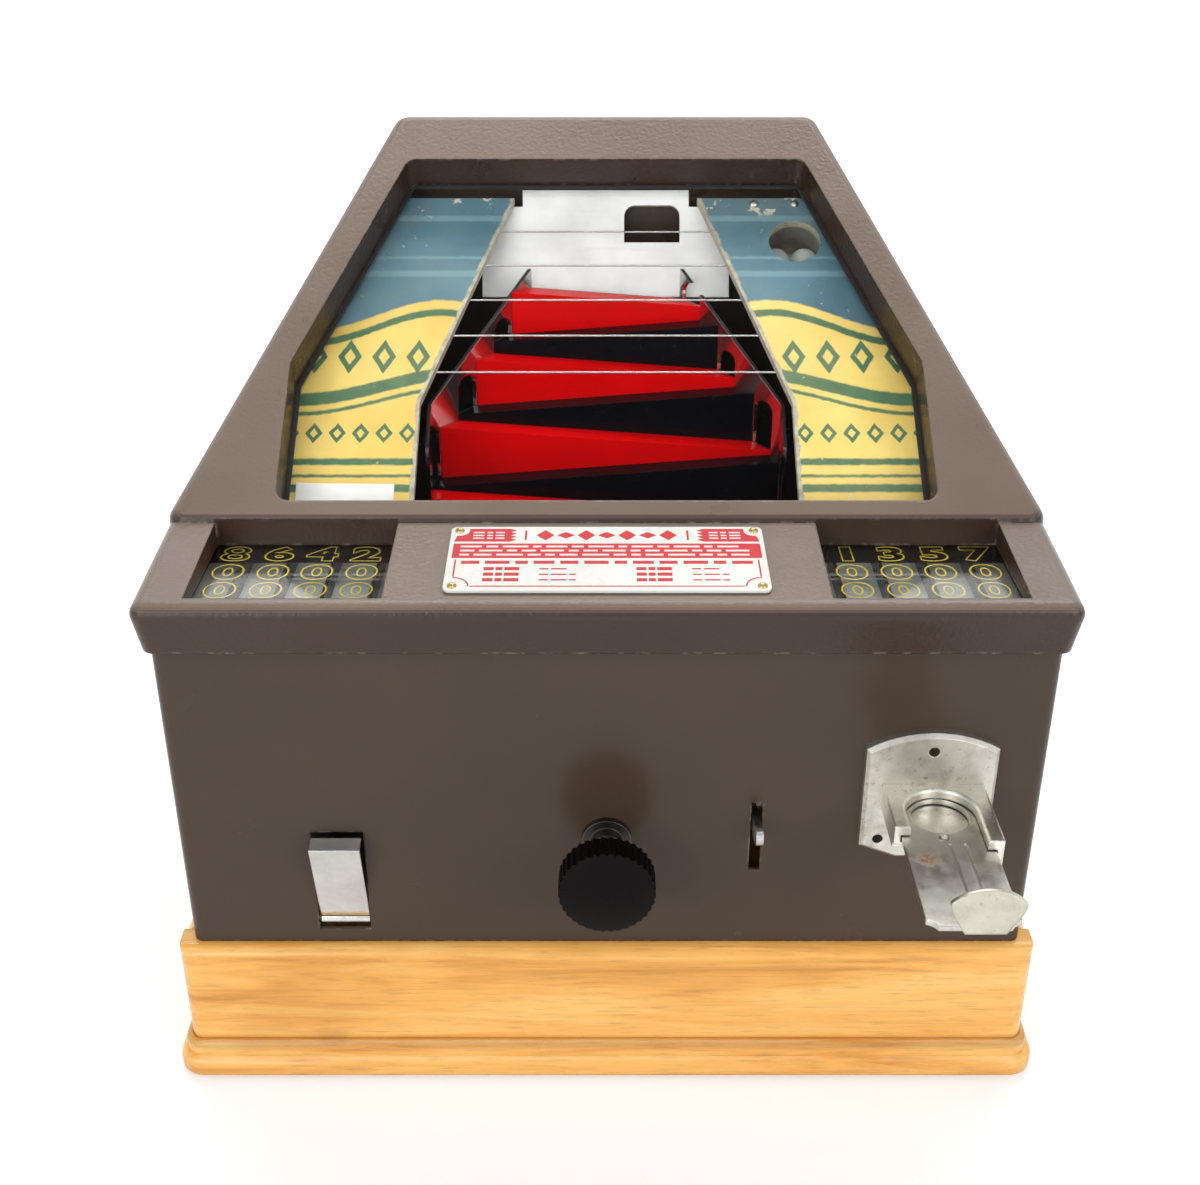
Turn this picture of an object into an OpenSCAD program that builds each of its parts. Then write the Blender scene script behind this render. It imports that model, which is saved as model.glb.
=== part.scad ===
// Counter-top coin-operated ball skill game: a knob rocks a stepped field under a sloping window.
// Millimetres. +Z is up and the front faces -Y. The origin is on the table, at the middle of the
// bounding box. A distance d is measured back from the front face of the cabinet's panel.

/* [Cabinet] */
// Width of the sheet-metal cabinet
body_w = 309; // [304:1:322]
// Depth of the cabinet from the front panel to the rear panel
body_d = 214; // [212:1:236]
// Height of the cabinet shell above the wooden base
shell_h = 128; // [126:1:136]
// Thickness of the cabinet sheet
sheet = 1.6; // [1.2:0.1:2]
// Plan radius of the shell's vertical corners
shell_r = 4; // [3:0.5:8]

/* [Wooden base] */
// Height of the wooden base above its feet
base_h = 57; // [48:1:70]
// How far the boards stand out past the cabinet
base_over = 5; // [4:0.5:8]
// Thickness of the boards
board_t = 12; // [10:0.5:15]
// Radius of the boards' rounded top edge
board_r = 5; // [3:0.5:6]
// Height of the bottom moulding
moulding_h = 14; // [10:0.5:18]
// How far the moulding stands out past the boards
moulding_over = 5.5; // [3:0.5:7]
// Thickness of the bottom panel
bottom_t = 6; // [4:0.5:9]
// Height of the rubber feet
foot_h = 3; // [2:0.5:6]
// Diameter of the rubber feet
foot_d = 20; // [14:1:24]

/* [Top casting] */
// Height of the casting's skirt
lip_h = 19; // [18:1:24]
// How far the skirt stands out past the cabinet
lip_over = 4.3; // [3:0.1:6]
// How far the skirt draws in at its bottom edge
lip_draft = 2; // [0:0.5:2.5]
// How far the shell reaches up inside the skirt
lip_lap = 3; // [2:0.5:4]
// Rounding of the skirt's top edge
lip_r = 5; // [3:0.5:6]
// Depth of the front shelf
shelf_d = 52; // [48:1:56]
// Rise of the shelf from front to back
shelf_rise = 4.5; // [2:0.5:6]
// Wall of the casting
cast_wall = 5; // [4:0.5:6]
// Slope of the window frame
slope_a = 35; // [33:0.5:36]
// Half width of the sloping frame at its back edge
frame_back = 89.5; // [87:0.5:94]
// Width of the frame above the window
frame_top = 27; // [23:0.5:30]
// Rounding of the frame's edges
frame_r = 7; // [5:0.5:9]

/* [Window] */
// Half width of the window at the front and at the kink
win_front = 120; // [116:0.5:123]
// Half width of the window at the back
win_back = 81; // [78:0.5:82]
// Distance from the window's front edge to the kink
win_kink = 61; // [55:0.5:66]
// Length of the window along the slope
win_len = 163; // [160:0.5:164]
// Depth of the well above the glass
well_depth = 15.5; // [13:0.5:16]
// Thickness of the window glass
glass_t = 3; // [2:0.5:3.5]
// Thickness of the rubber gasket
gasket_t = 1; // [0.8:0.1:1.5]
// Width of a score window
score_w = 66; // [60:0.5:68]
// Distance of a score window from the cabinet's side
score_edge = 13.5; // [12:0.5:16]
// Thickness of the score glasses
score_glass_t = 2.5; // [2:0.1:3]
// Width of the name plate
name_w = 110; // [100:1:120]
// Depth of the name plate
name_d = 43; // [36:0.5:44]
// Thickness of the name plate
name_t = 1; // [0.6:0.1:1.5]

/* [Art boards] */
// Thickness of the art boards
art_t = 3.5; // [2.5:0.5:4]
// Half gap between the boards at the front
art_in_front = 72.5; // [68:0.5:76]
// Half gap between the boards at the back
art_in_back = 37; // [34:0.5:42]
// Slope distance at which the boards' inner edges begin to close in
art_kink = 56; // [50:0.5:62]
// Diameter of the round sight hole in the right board
sight_d = 21.5; // [18:0.5:24]
// Diameter of the guard wires
wire_d = 0.8; // [0.6:0.1:1.4]
// Pitch of the guard wires along the slope
wire_pitch = 17.8; // [16:0.1:18.5]

/* [Stepped field] */
// Number of steps
levels = 7; // [5:1:7]
// Depth of a tread
run = 9.2; // [8.8:0.1:9.4]
// Mean rise from tread to tread
rise = 11.8; // [11:0.1:12]
// Least height of a riser, at the end where two treads come together
least_riser = 1.2; // [0.8:0.1:3]
// Half width of the field at the first steps
field_front = 70; // [66:0.5:71]
// Half width of the field at the seventh step
field_back = 39; // [37:0.5:41]
// How much narrower each side gets with each step
field_taper = 7.1; // [6:0.1:7.5]
// Thickness of the treads and risers
step_t = 1.2; // [0.8:0.1:1.5]
// Thickness of the side walls
wall_t = 1.5; // [1:0.1:2]
// Height of the rocking axis above the base
rock_z = 145; // [142:0.5:148]
// Turn of the knob for each degree of tilt
knob_gear = 2.5; // [2:0.1:3]

/* [Front controls] */
// Diameter of the knob
knob_d = 33.5; // [30:0.5:38]
// Thickness of the knob
knob_t = 12; // [10:0.5:15]
// Number of flutes round the knob
knob_flutes = 36; // [24:1:48]
// Gap between the panel and the knob
knob_gap = 22; // [16:0.5:26]
// Height of the knob's axis above the base
knob_z = 47.5; // [44:0.5:52]
// Diameter of the shafts
shaft_d = 8; // [6:0.5:9]
// Distance of the lift lever to the right of the middle
lever_x = 53.5; // [50:0.5:56]
// Height of the lever's slot above the base
lever_z = 48; // [44:0.5:52]
// Length of the lever's slot
slot_h = 29.5; // [26:0.5:34]
// Width of the lever's slot
slot_w = 4; // [3.6:0.1:5]
// Travel of the lever in degrees
lever_travel = 28; // [20:1:28]
// Distance of the gum flap to the left of the middle
flap_x = 97; // [92:0.5:104]
// Width of the gum opening
flap_w = 19; // [17:0.5:22]
// Height of the gum opening
flap_h = 44; // [40:0.5:48]
// Lean of the gum flap at rest
flap_lean = 15; // [12:0.5:19]

/* [Coin chute] */
// Distance of the coin chute to the right of the middle
coin_x = 114; // [111:0.5:117]
// Height of the chute block's top above the base
coin_z = 74; // [70:0.5:78]
// Width of the chute plate
plate_w = 46; // [44:0.5:50]
// Thickness of the chute plate
plate_t = 4.6; // [3:0.1:5.5]
// Width of the chute block
block_w = 35; // [34:0.5:38]
// Reach of the block's short arm
arm_short = 29.5; // [26:0.5:33]
// Reach of the block's long arm
arm_long = 37.5; // [34:0.5:39]
// Width of the coin slide
slide_w = 30; // [27:0.5:31]
// Thickness of the coin slide
slide_t = 2; // [1.6:0.1:3]
// How far the slide stands out of the panel at rest
slide_out = 75.5; // [75:0.5:82]
// Travel of the slide
slide_travel = 36; // [30:0.5:38]
// Diameter of the coin
coin_d = 19.05; // [17.9:0.05:21.2]

/* [Balls and lanes] */
// Diameter of the balls
ball_d = 9.5; // [8.5:0.1:9.5]
// Pitch of the score lanes
lane_pitch = 16.3; // [15:0.1:16.5]
// Sideways travel of the ball shutter
shutter_travel = 7.5; // [6:0.1:7.5]

/* [Rear] */
// Width of the rear door
door_w = 92; // [80:1:96]
// Height of the rear door
door_h = 40; // [36:0.5:44]
// Diameter of the door lock
lock_d = 16; // [13:0.5:18]

/* [Clearances] */
// Radial running clearance of shafts and pins
run_gap = 0.05; // [0.02:0.01:0.1]
// Gap round pieces that slide or swing
slide_gap = 0.4; // [0.3:0.05:0.5]
// Gap round fitted glass and plates
fit_gap = 0.3; // [0.2:0.05:0.5]
// Radial clearance of the link's open eye on the rocker's crank pin
eye_gap = 0.6; // [0.5:0.05:0.9]

/* [Hidden] */
$fn = 48;
round_fn = 32;

base_top = foot_h + base_h;
lip_z = base_top + shell_h - lip_lap;
shell_top = base_top + shell_h;
lip_top = lip_z + lip_h;
mould_reach = base_over + moulding_over;
thumb_t = 1.6;
panel_y = (slide_out + thumb_t - body_d - mould_reach) / 2;
function fy(d) = panel_y + d;

// The sloping frame starts where the window's front edge meets the frame's upper face.
win_d = shelf_d + 6;
win_z = lip_top + shelf_rise + 6;
frame_start = -4;
frame_len = win_len + frame_top;
function rim_z(d) = win_z + (d - win_d) * tan(slope_a);
function below_rim(d, depth) = rim_z(d) - depth / cos(slope_a);
taper_a = atan((win_front - win_back) / (win_len - win_kink));
gasket_n = -well_depth - gasket_t;
glass_n = gasket_n - glass_t;
art_n = glass_n - 1 - art_t;
glass_margin = 3;
ledge_in = 2.4;
score_in = body_w / 2 - score_edge - score_w;

// The field's steps count from 1 at the front; odd steps are red and drop to the right.
field_depth = 32;
field_gap = 48;
field_t = win_len - field_gap;
top_step_d = win_d + field_t * cos(slope_a) + field_depth * sin(slope_a);
top_step_z = win_z + field_t * sin(slope_a) - field_depth * cos(slope_a);
function step_d(n) = top_step_d - (7 - n) * run;
function step_z(n) = top_step_z - (7 - n) * rise;
tread_a = atan((rise - least_riser) / (2 * field_front));
kink_d = top_step_d - run * (field_front - field_back) / field_taper;
function half_w(d) = min(field_front, field_back + field_taper * (top_step_d - d) / run);
function lean(n) = n % 2 == 1 ? -1 : 1;
function tread_z(n, x) = step_z(n) + lean(n) * x * tan(tread_a);
wall_low = 36;
wall_high = 30;
field_end = step_d(levels + 1);
function wall_top(d) =
    below_rim(d, wall_low + (wall_high - wall_low) * (d - step_d(1)) / (field_end - step_d(1)));

// Rocking gear, all behind the field.
axis_z = base_top + rock_z;
knob_axis_z = base_top + knob_z;
back_plate_t = 2.5;
back_plate_d = field_end + step_t;
bracket_t = 3;
bracket_d = back_plate_d + back_plate_t + 4;
crank_t = 5;
crank_d = bracket_d + bracket_t + 2.5;
link_t = 3;
link_d = crank_d + crank_t + 0.5;
pin_r = 2.5;
rear_plate_d = link_d + link_t + 1.5;
rocker_r = 25;
knob_r = rocker_r / knob_gear;
bracket_half = 30;

// Front controls.
pivot_d = 22;
tip_d = 58;
lever_out = 10;
lever_t = 2.6;
lever_h = 7;
lever_rest = lever_travel / 2;
lever_pivot_z = base_top + lever_z;
tip_r = 3;
tip_z = lever_pivot_z - (tip_d - pivot_d) * tan(lever_rest);
lift_r = (tip_d - pivot_d) / cos(lever_rest);
lift_height = 2 * lift_r * sin(lever_rest);
plunger_r = 3.5;
flap_pivot_d = 4;
flap_pivot_z = base_top + 8.5;
flap_t = 1.5;
flap_len = flap_h - 3;
coin_top = base_top + coin_z;
slide_top = coin_top - 4;
slide_bottom = slide_top - slide_t;
plate_x = coin_x - 0.9;
arch_d = -20.2;
seat_d = -18;
tail_d = 66;
post_d = 50;
post_r = 2.5;

// Lanes, shutter and trough.
tray_z = shell_top - 1;
tray_t = 2;
tray_in = 71;
tray_out = body_w / 2 - cast_wall - 1;
lane_end = 5;
rail_t = 2;
shutter_z = tray_z - tray_t - rail_t - 2.5;
shutter_t = 2;
trough_top = shutter_z - slide_gap;
lift_floor = shutter_z - 2 * ball_d - 0.5;
trough_front = 5;
trough_back = 25;
drop_d = 15;
drop_r = ball_d / 2 + 1.2;
lane_edge = tray_out - 1.5;
function lane_x(i) = lane_edge - lane_pitch * (3.5 - i);

// Rear door and lock.
door_x = 90;
door_z = base_top + 27;
hinge_r = 2.5;
hinge_x = door_x + door_w / 2 + 1.5;
hinge_d = body_d + hinge_r + 0.3;
lock_x = door_x - door_w / 2 + 11;
cam_r = door_h / 2 - 4;

// A box from one corner to the other, with its depths measured back from the panel.
module block(x0, x1, d0, d1, z0, z1) {
    translate([x0, fy(d0), z0]) cube([x1 - x0, d1 - d0, z1 - z0]);
}

// Round bars along each axis.
module rod_x(x, d, z, len, r) {
    translate([x, fy(d), z]) rotate([0, 90, 0]) cylinder(r = r, h = len);
}
module rod_y(x, d, z, len, r) {
    translate([x, fy(d), z]) rotate([-90, 0, 0]) cylinder(r = r, h = len);
}
module rod_z(x, d, z, len, r) {
    translate([x, fy(d), z]) cylinder(r = r, h = len);
}

// Outlines in the side view and the front view, drawn out along X or Y.
module along_x(x0, x1) {
    translate([x0, 0, 0]) rotate([90, 0, 90]) linear_extrude(x1 - x0) children();
}
module along_y(d0, d1) {
    translate([0, fy(d1), 0]) rotate([90, 0, 0]) linear_extrude(d1 - d0) children();
}

// A piece laid on the window's slope: x across, y up the slope and z out of it.
module on_slope(n = 0) {
    translate([0, fy(win_d), win_z]) rotate([slope_a, 0, 0]) translate([0, 0, n]) children();
}

module mirror_pair() {
    children();
    mirror([1, 0, 0]) children();
}

// Plan rectangle with round corners, centred on X.
module plan_rect(w, d0, d1, r) {
    translate([r - w / 2, fy(d0)]) square([w - 2 * r, d1 - d0]);
    translate([-w / 2, fy(d0) + r]) square([w, d1 - d0 - 2 * r]);
    for (x = [r - w / 2, w / 2 - r], y = [fy(d0) + r, fy(d1) - r])
        translate([x, y]) circle(r);
}

// Board section whose top edge is round on the side of its first point.
module board_section(a0, a1, z0, z1, r) {
    translate([a0, z0]) square([a1 - a0, z1 - z0 - r]);
    translate([a0 + r, z0]) square([a1 - a0 - r, z1 - z0]);
    translate([a0 + r, z1 - r]) circle(r);
}

module rubber_feet() {
    color("#1c1a18")
    for (x = [-1, 1], d = [board_t, body_d - board_t])
        rod_z(x * (body_w / 2 - board_t), d, 0, foot_h, foot_d / 2);
}

module bottom_panel() {
    color("#b98a4e")
    block(-body_w / 2 - base_over + board_t, body_w / 2 + base_over - board_t,
        board_t - base_over, body_d + base_over - board_t, foot_h, foot_h + bottom_t);
}

module front_board() {
    color("#d9a04f")
    intersection() {
        along_x(-body_w / 2 - base_over, body_w / 2 + base_over)
            board_section(fy(-base_over), fy(board_t - base_over), foot_h, base_top, board_r);
        translate([0, 0, foot_h]) linear_extrude(base_h)
            plan_rect(body_w + 2 * base_over, -base_over, board_t + board_r, board_r);
    }
}

module side_boards() {
    color("#d29748")
    mirror_pair()
        along_y(board_t - base_over, body_d + base_over)
            mirror([1, 0]) board_section(-body_w / 2 - base_over, board_t - body_w / 2 - base_over,
                foot_h, base_top, board_r);
}

module back_rail() {
    color("#c58d44")
    block(-body_w / 2 - base_over + board_t, body_w / 2 + base_over - board_t,
        body_d + base_over - board_t, body_d + base_over, foot_h, base_top);
}

// One step of the moulding, round at its corners and along its top edge.
module moulding_step(over, z0, z1, r) {
    corner = board_r + over;
    half = body_w / 2 + base_over + over - corner;
    hull()
        for (x = [-half, half], d = [corner - base_over - over, body_d + base_over + over - corner])
            translate([x, fy(d), z0]) {
                cylinder(r = corner, h = z1 - z0 - r, $fn = round_fn);
                translate([0, 0, z1 - z0 - r]) rotate_extrude($fn = round_fn)
                    translate([corner - r, 0]) circle(r, $fn = 16);
            }
}

module base_moulding() {
    step = moulding_h * 0.55;
    color("#cf9245")
    difference() {
        union() {
            moulding_step(moulding_over, foot_h, foot_h + step, moulding_over * 0.7);
            moulding_step(moulding_over / 2, foot_h, foot_h + moulding_h, moulding_over * 0.45);
        }
        translate([0, 0, -1]) linear_extrude(foot_h + base_h)
            plan_rect(body_w + 2 * base_over + 0.2, -base_over - 0.1, body_d + base_over + 0.1, board_r);
        block(-body_w / 2 - base_over, body_w / 2 + base_over, board_t, body_d + base_over, -1, base_top);
    }
}

module cabinet_shell() {
    inner_r = shell_r - sheet;
    color("#5a463c")
    difference() {
        translate([0, 0, base_top]) linear_extrude(shell_h)
            difference() {
                plan_rect(body_w, 0, body_d + shell_r, shell_r);
                plan_rect(body_w - 2 * sheet, sheet, body_d + shell_r + 9, inner_r);
                translate([-body_w, fy(body_d)]) square([2 * body_w, 30]);
            }
        rod_y(0, -1, knob_axis_z, sheet + 2, shaft_d / 2 + 2);
        block(lever_x - slot_w / 2, lever_x + slot_w / 2, -1, sheet + 1,
            lever_pivot_z - slot_h / 2, lever_pivot_z + slot_h / 2);
        block(-flap_x - flap_w / 2, flap_w / 2 - flap_x, -1, sheet + 1,
            base_top + 6, base_top + 6 + flap_h);
        block(coin_x - slide_w / 2 - 1, coin_x + slide_w / 2 + 1, -1, sheet + 1,
            slide_bottom - 3, slide_top + 2);
    }
}

// The rear door's rectangle, grown all round by a gap.
module door_outline(gap) {
    translate([door_x - door_w / 2 - gap, door_z - door_h / 2 - gap])
        square([door_w + 2 * gap, door_h + 2 * gap]);
}

// Hinge knuckles along Z, drilled for the pin.
module knuckle(z0, z1) {
    difference() {
        union() {
            rod_z(hinge_x, hinge_d, z0, z1 - z0, hinge_r);
            children();
        }
        rod_z(hinge_x, hinge_d, z0 - 1, z1 - z0 + 2, hinge_r / 2 + run_gap);
    }
}
knuckle_h = 10;
hinge_low = door_z - door_h / 2 + 3;
hinge_high = door_z + door_h / 2 - 3 - knuckle_h;

module rear_panel() {
    half = body_w / 2 - sheet;
    color("#54423a")
    difference() {
        union() {
            difference() {
                block(-half, half, body_d - sheet, body_d, base_top, shell_top);
                along_y(body_d - sheet - 1, body_d + 1) door_outline(slide_gap);
            }
            for (z = [hinge_low, hinge_high])
                knuckle(z, z + knuckle_h)
                    block(hinge_x, hinge_x + 8, body_d, body_d + 1.2, z, z + knuckle_h);
        }
        for (z = [hinge_low, hinge_high])
            rod_z(hinge_x, hinge_d, z - 1, knuckle_h + 2, hinge_r / 2 + run_gap);
    }
}

module rear_door() {
    z0 = hinge_low + knuckle_h + slide_gap;
    z1 = hinge_high - slide_gap;
    color("#54423a")
    difference() {
        union() {
            along_y(body_d - sheet, body_d) door_outline(0);
            block(door_x + door_w / 2 - 10, hinge_x, body_d, body_d + 1.2, z0, z1);
            rod_z(hinge_x, hinge_d, z0, z1 - z0, hinge_r);
        }
        rod_z(hinge_x, hinge_d, z0 - 1, z1 - z0 + 2, hinge_r / 2 + run_gap);
        rod_y(lock_x, body_d - sheet - 1, door_z, sheet + 2, lock_d / 2 - 2 + run_gap);
    }
}

module door_hinge_pin() {
    color("#8f8d88")
    rod_z(hinge_x, hinge_d, hinge_low - 1.5, hinge_high + knuckle_h + 3 - hinge_low, hinge_r / 2);
}

// Lock plug with its key slot outside and its cam inside, shown unlocked with the cam up.
module lock_plug() {
    cam_d = body_d - sheet - 4;
    color("#c9c6bd")
    difference() {
        union() {
            rod_y(lock_x, body_d + run_gap, door_z, 2.5, lock_d / 2);
            rod_y(lock_x, cam_d, door_z, body_d + 1 - cam_d, lock_d / 2 - 2);
            rod_y(lock_x, cam_d - 2, door_z, 2, lock_d / 2 - 1);
            block(lock_x - 4, lock_x + 4, cam_d - 2, cam_d, door_z, door_z + cam_r);
        }
        block(lock_x - 0.6, lock_x + 0.6, body_d + 1, body_d + 4, door_z - 3.2, door_z + 3.2);
    }
}

// Half width of the sloping frame's outer edge, t up the slope.
frame_front = body_w / 2 + lip_over;
frame_skim = 0.25;
function frame_half(t) =
    frame_front + (frame_back - frame_front) * (t - frame_start) / (frame_len - frame_start);

// Window outline on the slope, grown outwards by a margin, with softened corners.
module window_outline(margin, r = 0) {
    top_x = win_back + margin / cos(taper_a) - margin * tan(taper_a);
    kink_t = win_kink + (margin == 0 ? 0 : margin * (1 / cos(taper_a) - 1) / tan(taper_a));
    right = [[win_front + margin, -margin], [win_front + margin, kink_t], [top_x, win_len + margin]];
    pts = concat(right, [for (i = [2:-1:0]) [-right[i][0], right[i][1]]]);
    offset(r = r) offset(delta = -r) polygon(pts);
}

module rim_corners(z, inset, d0, d1) {
    half = body_w / 2 + lip_over - lip_r - inset;
    for (x = [-half, half], d = [d0, d1])
        translate([x, fy(d), z]) sphere(lip_r, $fn = round_fn);
}

module casting_body() {
    rim = lip_r - lip_over;
    hull() {
        rim_corners(lip_top - lip_r, 0, rim, body_d - rim);
        translate([0, 0, lip_z]) linear_extrude(1)
            plan_rect(body_w + 2 * (lip_over - lip_draft), lip_draft - lip_over,
                body_d + lip_over - lip_draft, lip_r, $fn = round_fn);
    }
    hull() {
        rim_corners(lip_top - lip_r, 0, rim, shelf_d + lip_r);
        rim_corners(lip_top + shelf_rise - lip_r, 0, shelf_d + lip_r, shelf_d + 2 * lip_r);
    }
    difference() {
        hull() {
            rim_corners(lip_top - lip_r, 1, shelf_d + lip_r, body_d - rim);
            on_slope(-frame_r)
                for (x = [-1, 1]) {
                    translate([x * (frame_front - frame_r), frame_start, 0]) sphere(frame_r, $fn = round_fn);
                    translate([x * (frame_back - frame_r), frame_len - frame_r, 0])
                        sphere(frame_r, $fn = round_fn);
                }
        }
        on_slope(-frame_skim) translate([-body_w, -100, 0]) cube([2 * body_w, 400, 60]);
    }
}

// The hollow under the shelf and under the sloping frame, and the pocket that takes the shell.
module casting_hollow() {
    half = body_w / 2 - cast_wall;
    roof = lip_top - cast_wall;
    block(-half, half, sheet + ledge_in - 1, shelf_d + 12, lip_z - 1, roof);
    block(-half, half, -0.5, shelf_d, shell_top + ledge_in, roof);
    hull() {
        block(-half, half, shelf_d + 8, body_d - cast_wall, lip_z - 1, roof);
        on_slope(-cast_wall - 2)
            for (x = [-1, 1]) {
                translate([x * (frame_front - cast_wall - 8), 12, 0]) sphere(2, $fn = 16);
                translate([x * (frame_back - cast_wall - 2), frame_len - cast_wall - 2, 0])
                    sphere(2, $fn = 16);
            }
    }
    block(-body_w / 2 - fit_gap, body_w / 2 + fit_gap, -fit_gap, body_d + fit_gap, lip_z - 1, shell_top);
}

module top_casting() {
    color("#5f4a40") {
        difference() {
            casting_body();
            casting_hollow();
            on_slope(1 - well_depth) linear_extrude(60) window_outline(0, 5);
            mirror_pair()
                block(score_in, score_in + score_w, 1.5, shelf_d + 0.5,
                    lip_top - cast_wall - 1, lip_top + 20);
        }
        on_slope(-well_depth) linear_extrude(well_depth - frame_r / 2)
            difference() {
                window_outline(glass_margin, 5);
                window_outline(0, 5);
            }
    }
}

module window_gasket() {
    color("#15130f")
    on_slope(gasket_n) linear_extrude(gasket_t)
        difference() {
            window_outline(glass_margin);
            window_outline(-1.5);
        }
}

module window_glass() {
    color("#c8d8d8", 0.25)
    on_slope(glass_n) linear_extrude(glass_t) window_outline(glass_margin);
}

module score_glasses() {
    z = lip_top - cast_wall;
    color("#c8d8d8", 0.25)
    mirror_pair() block(score_in - glass_margin, score_in + score_w + glass_margin,
        -0.2, shelf_d + 3, z - score_glass_t, z);
}

// A piece lying on the shelf, from the shelf's front edge.
module on_shelf() {
    translate([0, fy(0), lip_top + shelf_rise * lip_over / (shelf_d + lip_over)])
        rotate([atan(shelf_rise / (shelf_d + lip_over)), 0, 0]) children();
}
name_front = 4;

module name_plate() {
    color("#ece8de")
    on_shelf() translate([0, -fy(0), 0]) linear_extrude(name_t)
        plan_rect(name_w, name_front, name_front + name_d, 2.5);
}

module name_plate_pins() {
    color("#b99a4a")
    on_shelf()
        for (x = [-1, 1], y = [name_front + 3, name_front + name_d - 3])
            translate([x * (name_w / 2 - 3), y, name_t]) intersection() {
                translate([0, 0, -0.6]) sphere(1.8);
                cylinder(r = 2, h = 3);
            }
}

// Right-hand board outline: its outer edge lies under the window's frame.
board_low = 8;
board_high = win_len - 4;
function art_in(t) = t < art_kink ? art_in_front
    : art_in_front + (art_in_back - art_in_front) * (t - art_kink) / (win_len - art_kink);

module board_outline() {
    intersection() {
        window_outline(4);
        polygon([[art_in_front, board_low], [art_in_front, art_kink], [art_in(board_high), board_high],
            [win_front + 20, board_high], [win_front + 20, board_low]]);
    }
}
sight_x = 78;
sight_t = win_len - 27;

module art_board_left() {
    color("#8fa39a")
    mirror([1, 0, 0]) on_slope(art_n) linear_extrude(art_t) board_outline();
}

module art_board_right() {
    color("#8fa39a")
    on_slope(art_n) linear_extrude(art_t)
        difference() {
            board_outline();
            translate([sight_x, sight_t]) circle(sight_d / 2);
        }
}

module board_screws() {
    color("#d8d6cf")
    mirror_pair() on_slope(art_n + art_t)
        for (x = [62, 79])
            translate([x, board_high - 3, 0]) intersection() {
                translate([0, 0, -1.6]) sphere(2.6);
                cylinder(r = 3, h = 0.9);
            }
}

wire_low = 71.2;
module guard_wires() {
    color("#d5d6d4")
    for (i = [0:4]) {
        t = wire_low + i * wire_pitch;
        half = art_in(t + wire_d) - 0.1;
        on_slope(art_n + art_t / 2) translate([-half, t, 0]) rotate([0, 90, 0])
            cylinder(r = wire_d / 2, h = 2 * half);
    }
}

// Pale board behind the top step, with the goal hole near its upper edge.
goal_a = 63;
goal_w = 104;
module goal_board() {
    goal_len = 38;
    tab_half = art_in_back - 2;
    tab_len = 45;
    hole_r = 4.5;
    hole_x = 7.8;
    hole_w = 23.4;
    hole_low = 23;
    hole_h = 15.6;
    color("#e9e8e4")
    translate([0, fy(back_plate_d + back_plate_t + 2.4), step_z(levels) - 4])
        rotate([goal_a, 0, 0]) linear_extrude(2)
        difference() {
            union() {
                translate([-goal_w / 2, 0]) square([goal_w, goal_len]);
                translate([-tab_half, 0]) square([2 * tab_half, tab_len]);
            }
            translate([hole_x, hole_low]) {
                square([hole_w, hole_h - hole_r]);
                translate([hole_r, 0]) square([hole_w - 2 * hole_r, hole_h]);
                for (x = [hole_r, hole_w - hole_r]) translate([x, hole_h - hole_r]) circle(hole_r);
            }
        }
}

// Cup of ball gum behind the sight hole, hung on the right board.
cup_depth = 22;
cup_r = sight_d / 2 + 4;
module sight_cup() {
    color("#a9aaa2")
    on_slope(art_n - cup_depth) translate([sight_x, sight_t, 0])
        difference() {
            cylinder(r = cup_r, h = cup_depth);
            translate([0, 0, 1.5]) cylinder(r = cup_r - 1.5, h = cup_depth);
        }
}

module gum_balls() {
    gum_r = 6;
    ring = cup_r - 1.5 - gum_r - 0.3;
    color("#d9dbd3")
    on_slope(art_n - cup_depth + 1.5 + gum_r) translate([sight_x, sight_t, 0])
        for (a = [30, 150, 270]) rotate([0, 0, a]) translate([ring, 0, 0]) sphere(gum_r);
}

// One folded step: a riser whose top follows its own tread and whose foot follows the tread below.
module folded_step(n) {
    w = half_w(step_d(n));
    along_y(step_d(n), step_d(n) + step_t)
        polygon([[-w, tread_z(n - 1, -w) - step_t], [w, tread_z(n - 1, w) - step_t],
            [w, tread_z(n, w) - step_t], [-w, tread_z(n, -w) - step_t]]);
    along_y(step_d(n), step_d(n + 1))
        polygon([[-w, tread_z(n, -w) - step_t], [w, tread_z(n, w) - step_t],
            [w, tread_z(n, w)], [-w, tread_z(n, -w)]]);
}

// Plan of the field, narrowing to the back.
module field_plan(grow = 0) {
    d0 = step_d(1);
    d1 = field_end + step_t;
    right = [for (d = [d0, kink_d, d1]) [half_w(d) + grow, fy(d)]];
    polygon(concat(right, [for (i = [2:-1:0]) [-right[i][0], right[i][1]]]));
}

module steps(first) {
    intersection() {
        for (n = [first:2:levels]) folded_step(n);
        translate([0, 0, base_top]) linear_extrude(2 * shell_h) field_plan(-0.1);
    }
}

module red_steps() {
    color("#b3121a") steps(1);
}

module black_steps() {
    color("#1a1a1c") steps(2);
}

// Exit slot with a round top at the end of step n, on the side that its tread drops to.
module exit_slot(n) {
    side = -lean(n);
    w = half_w(step_d(n));
    floor_z = tread_z(n, side * w);
    r = run / 2 - 0.4;
    top = max(floor_z + r, wall_top(step_d(n)) - r - 4);
    x = side > 0 ? w - 12 : -w - 8;
    block(x, x + 20, step_d(n) + 0.4, step_d(n) + 0.4 + 2 * r, floor_z, top);
    rod_x(x, step_d(n) + 0.4 + r, top, 20, r);
}

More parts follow.
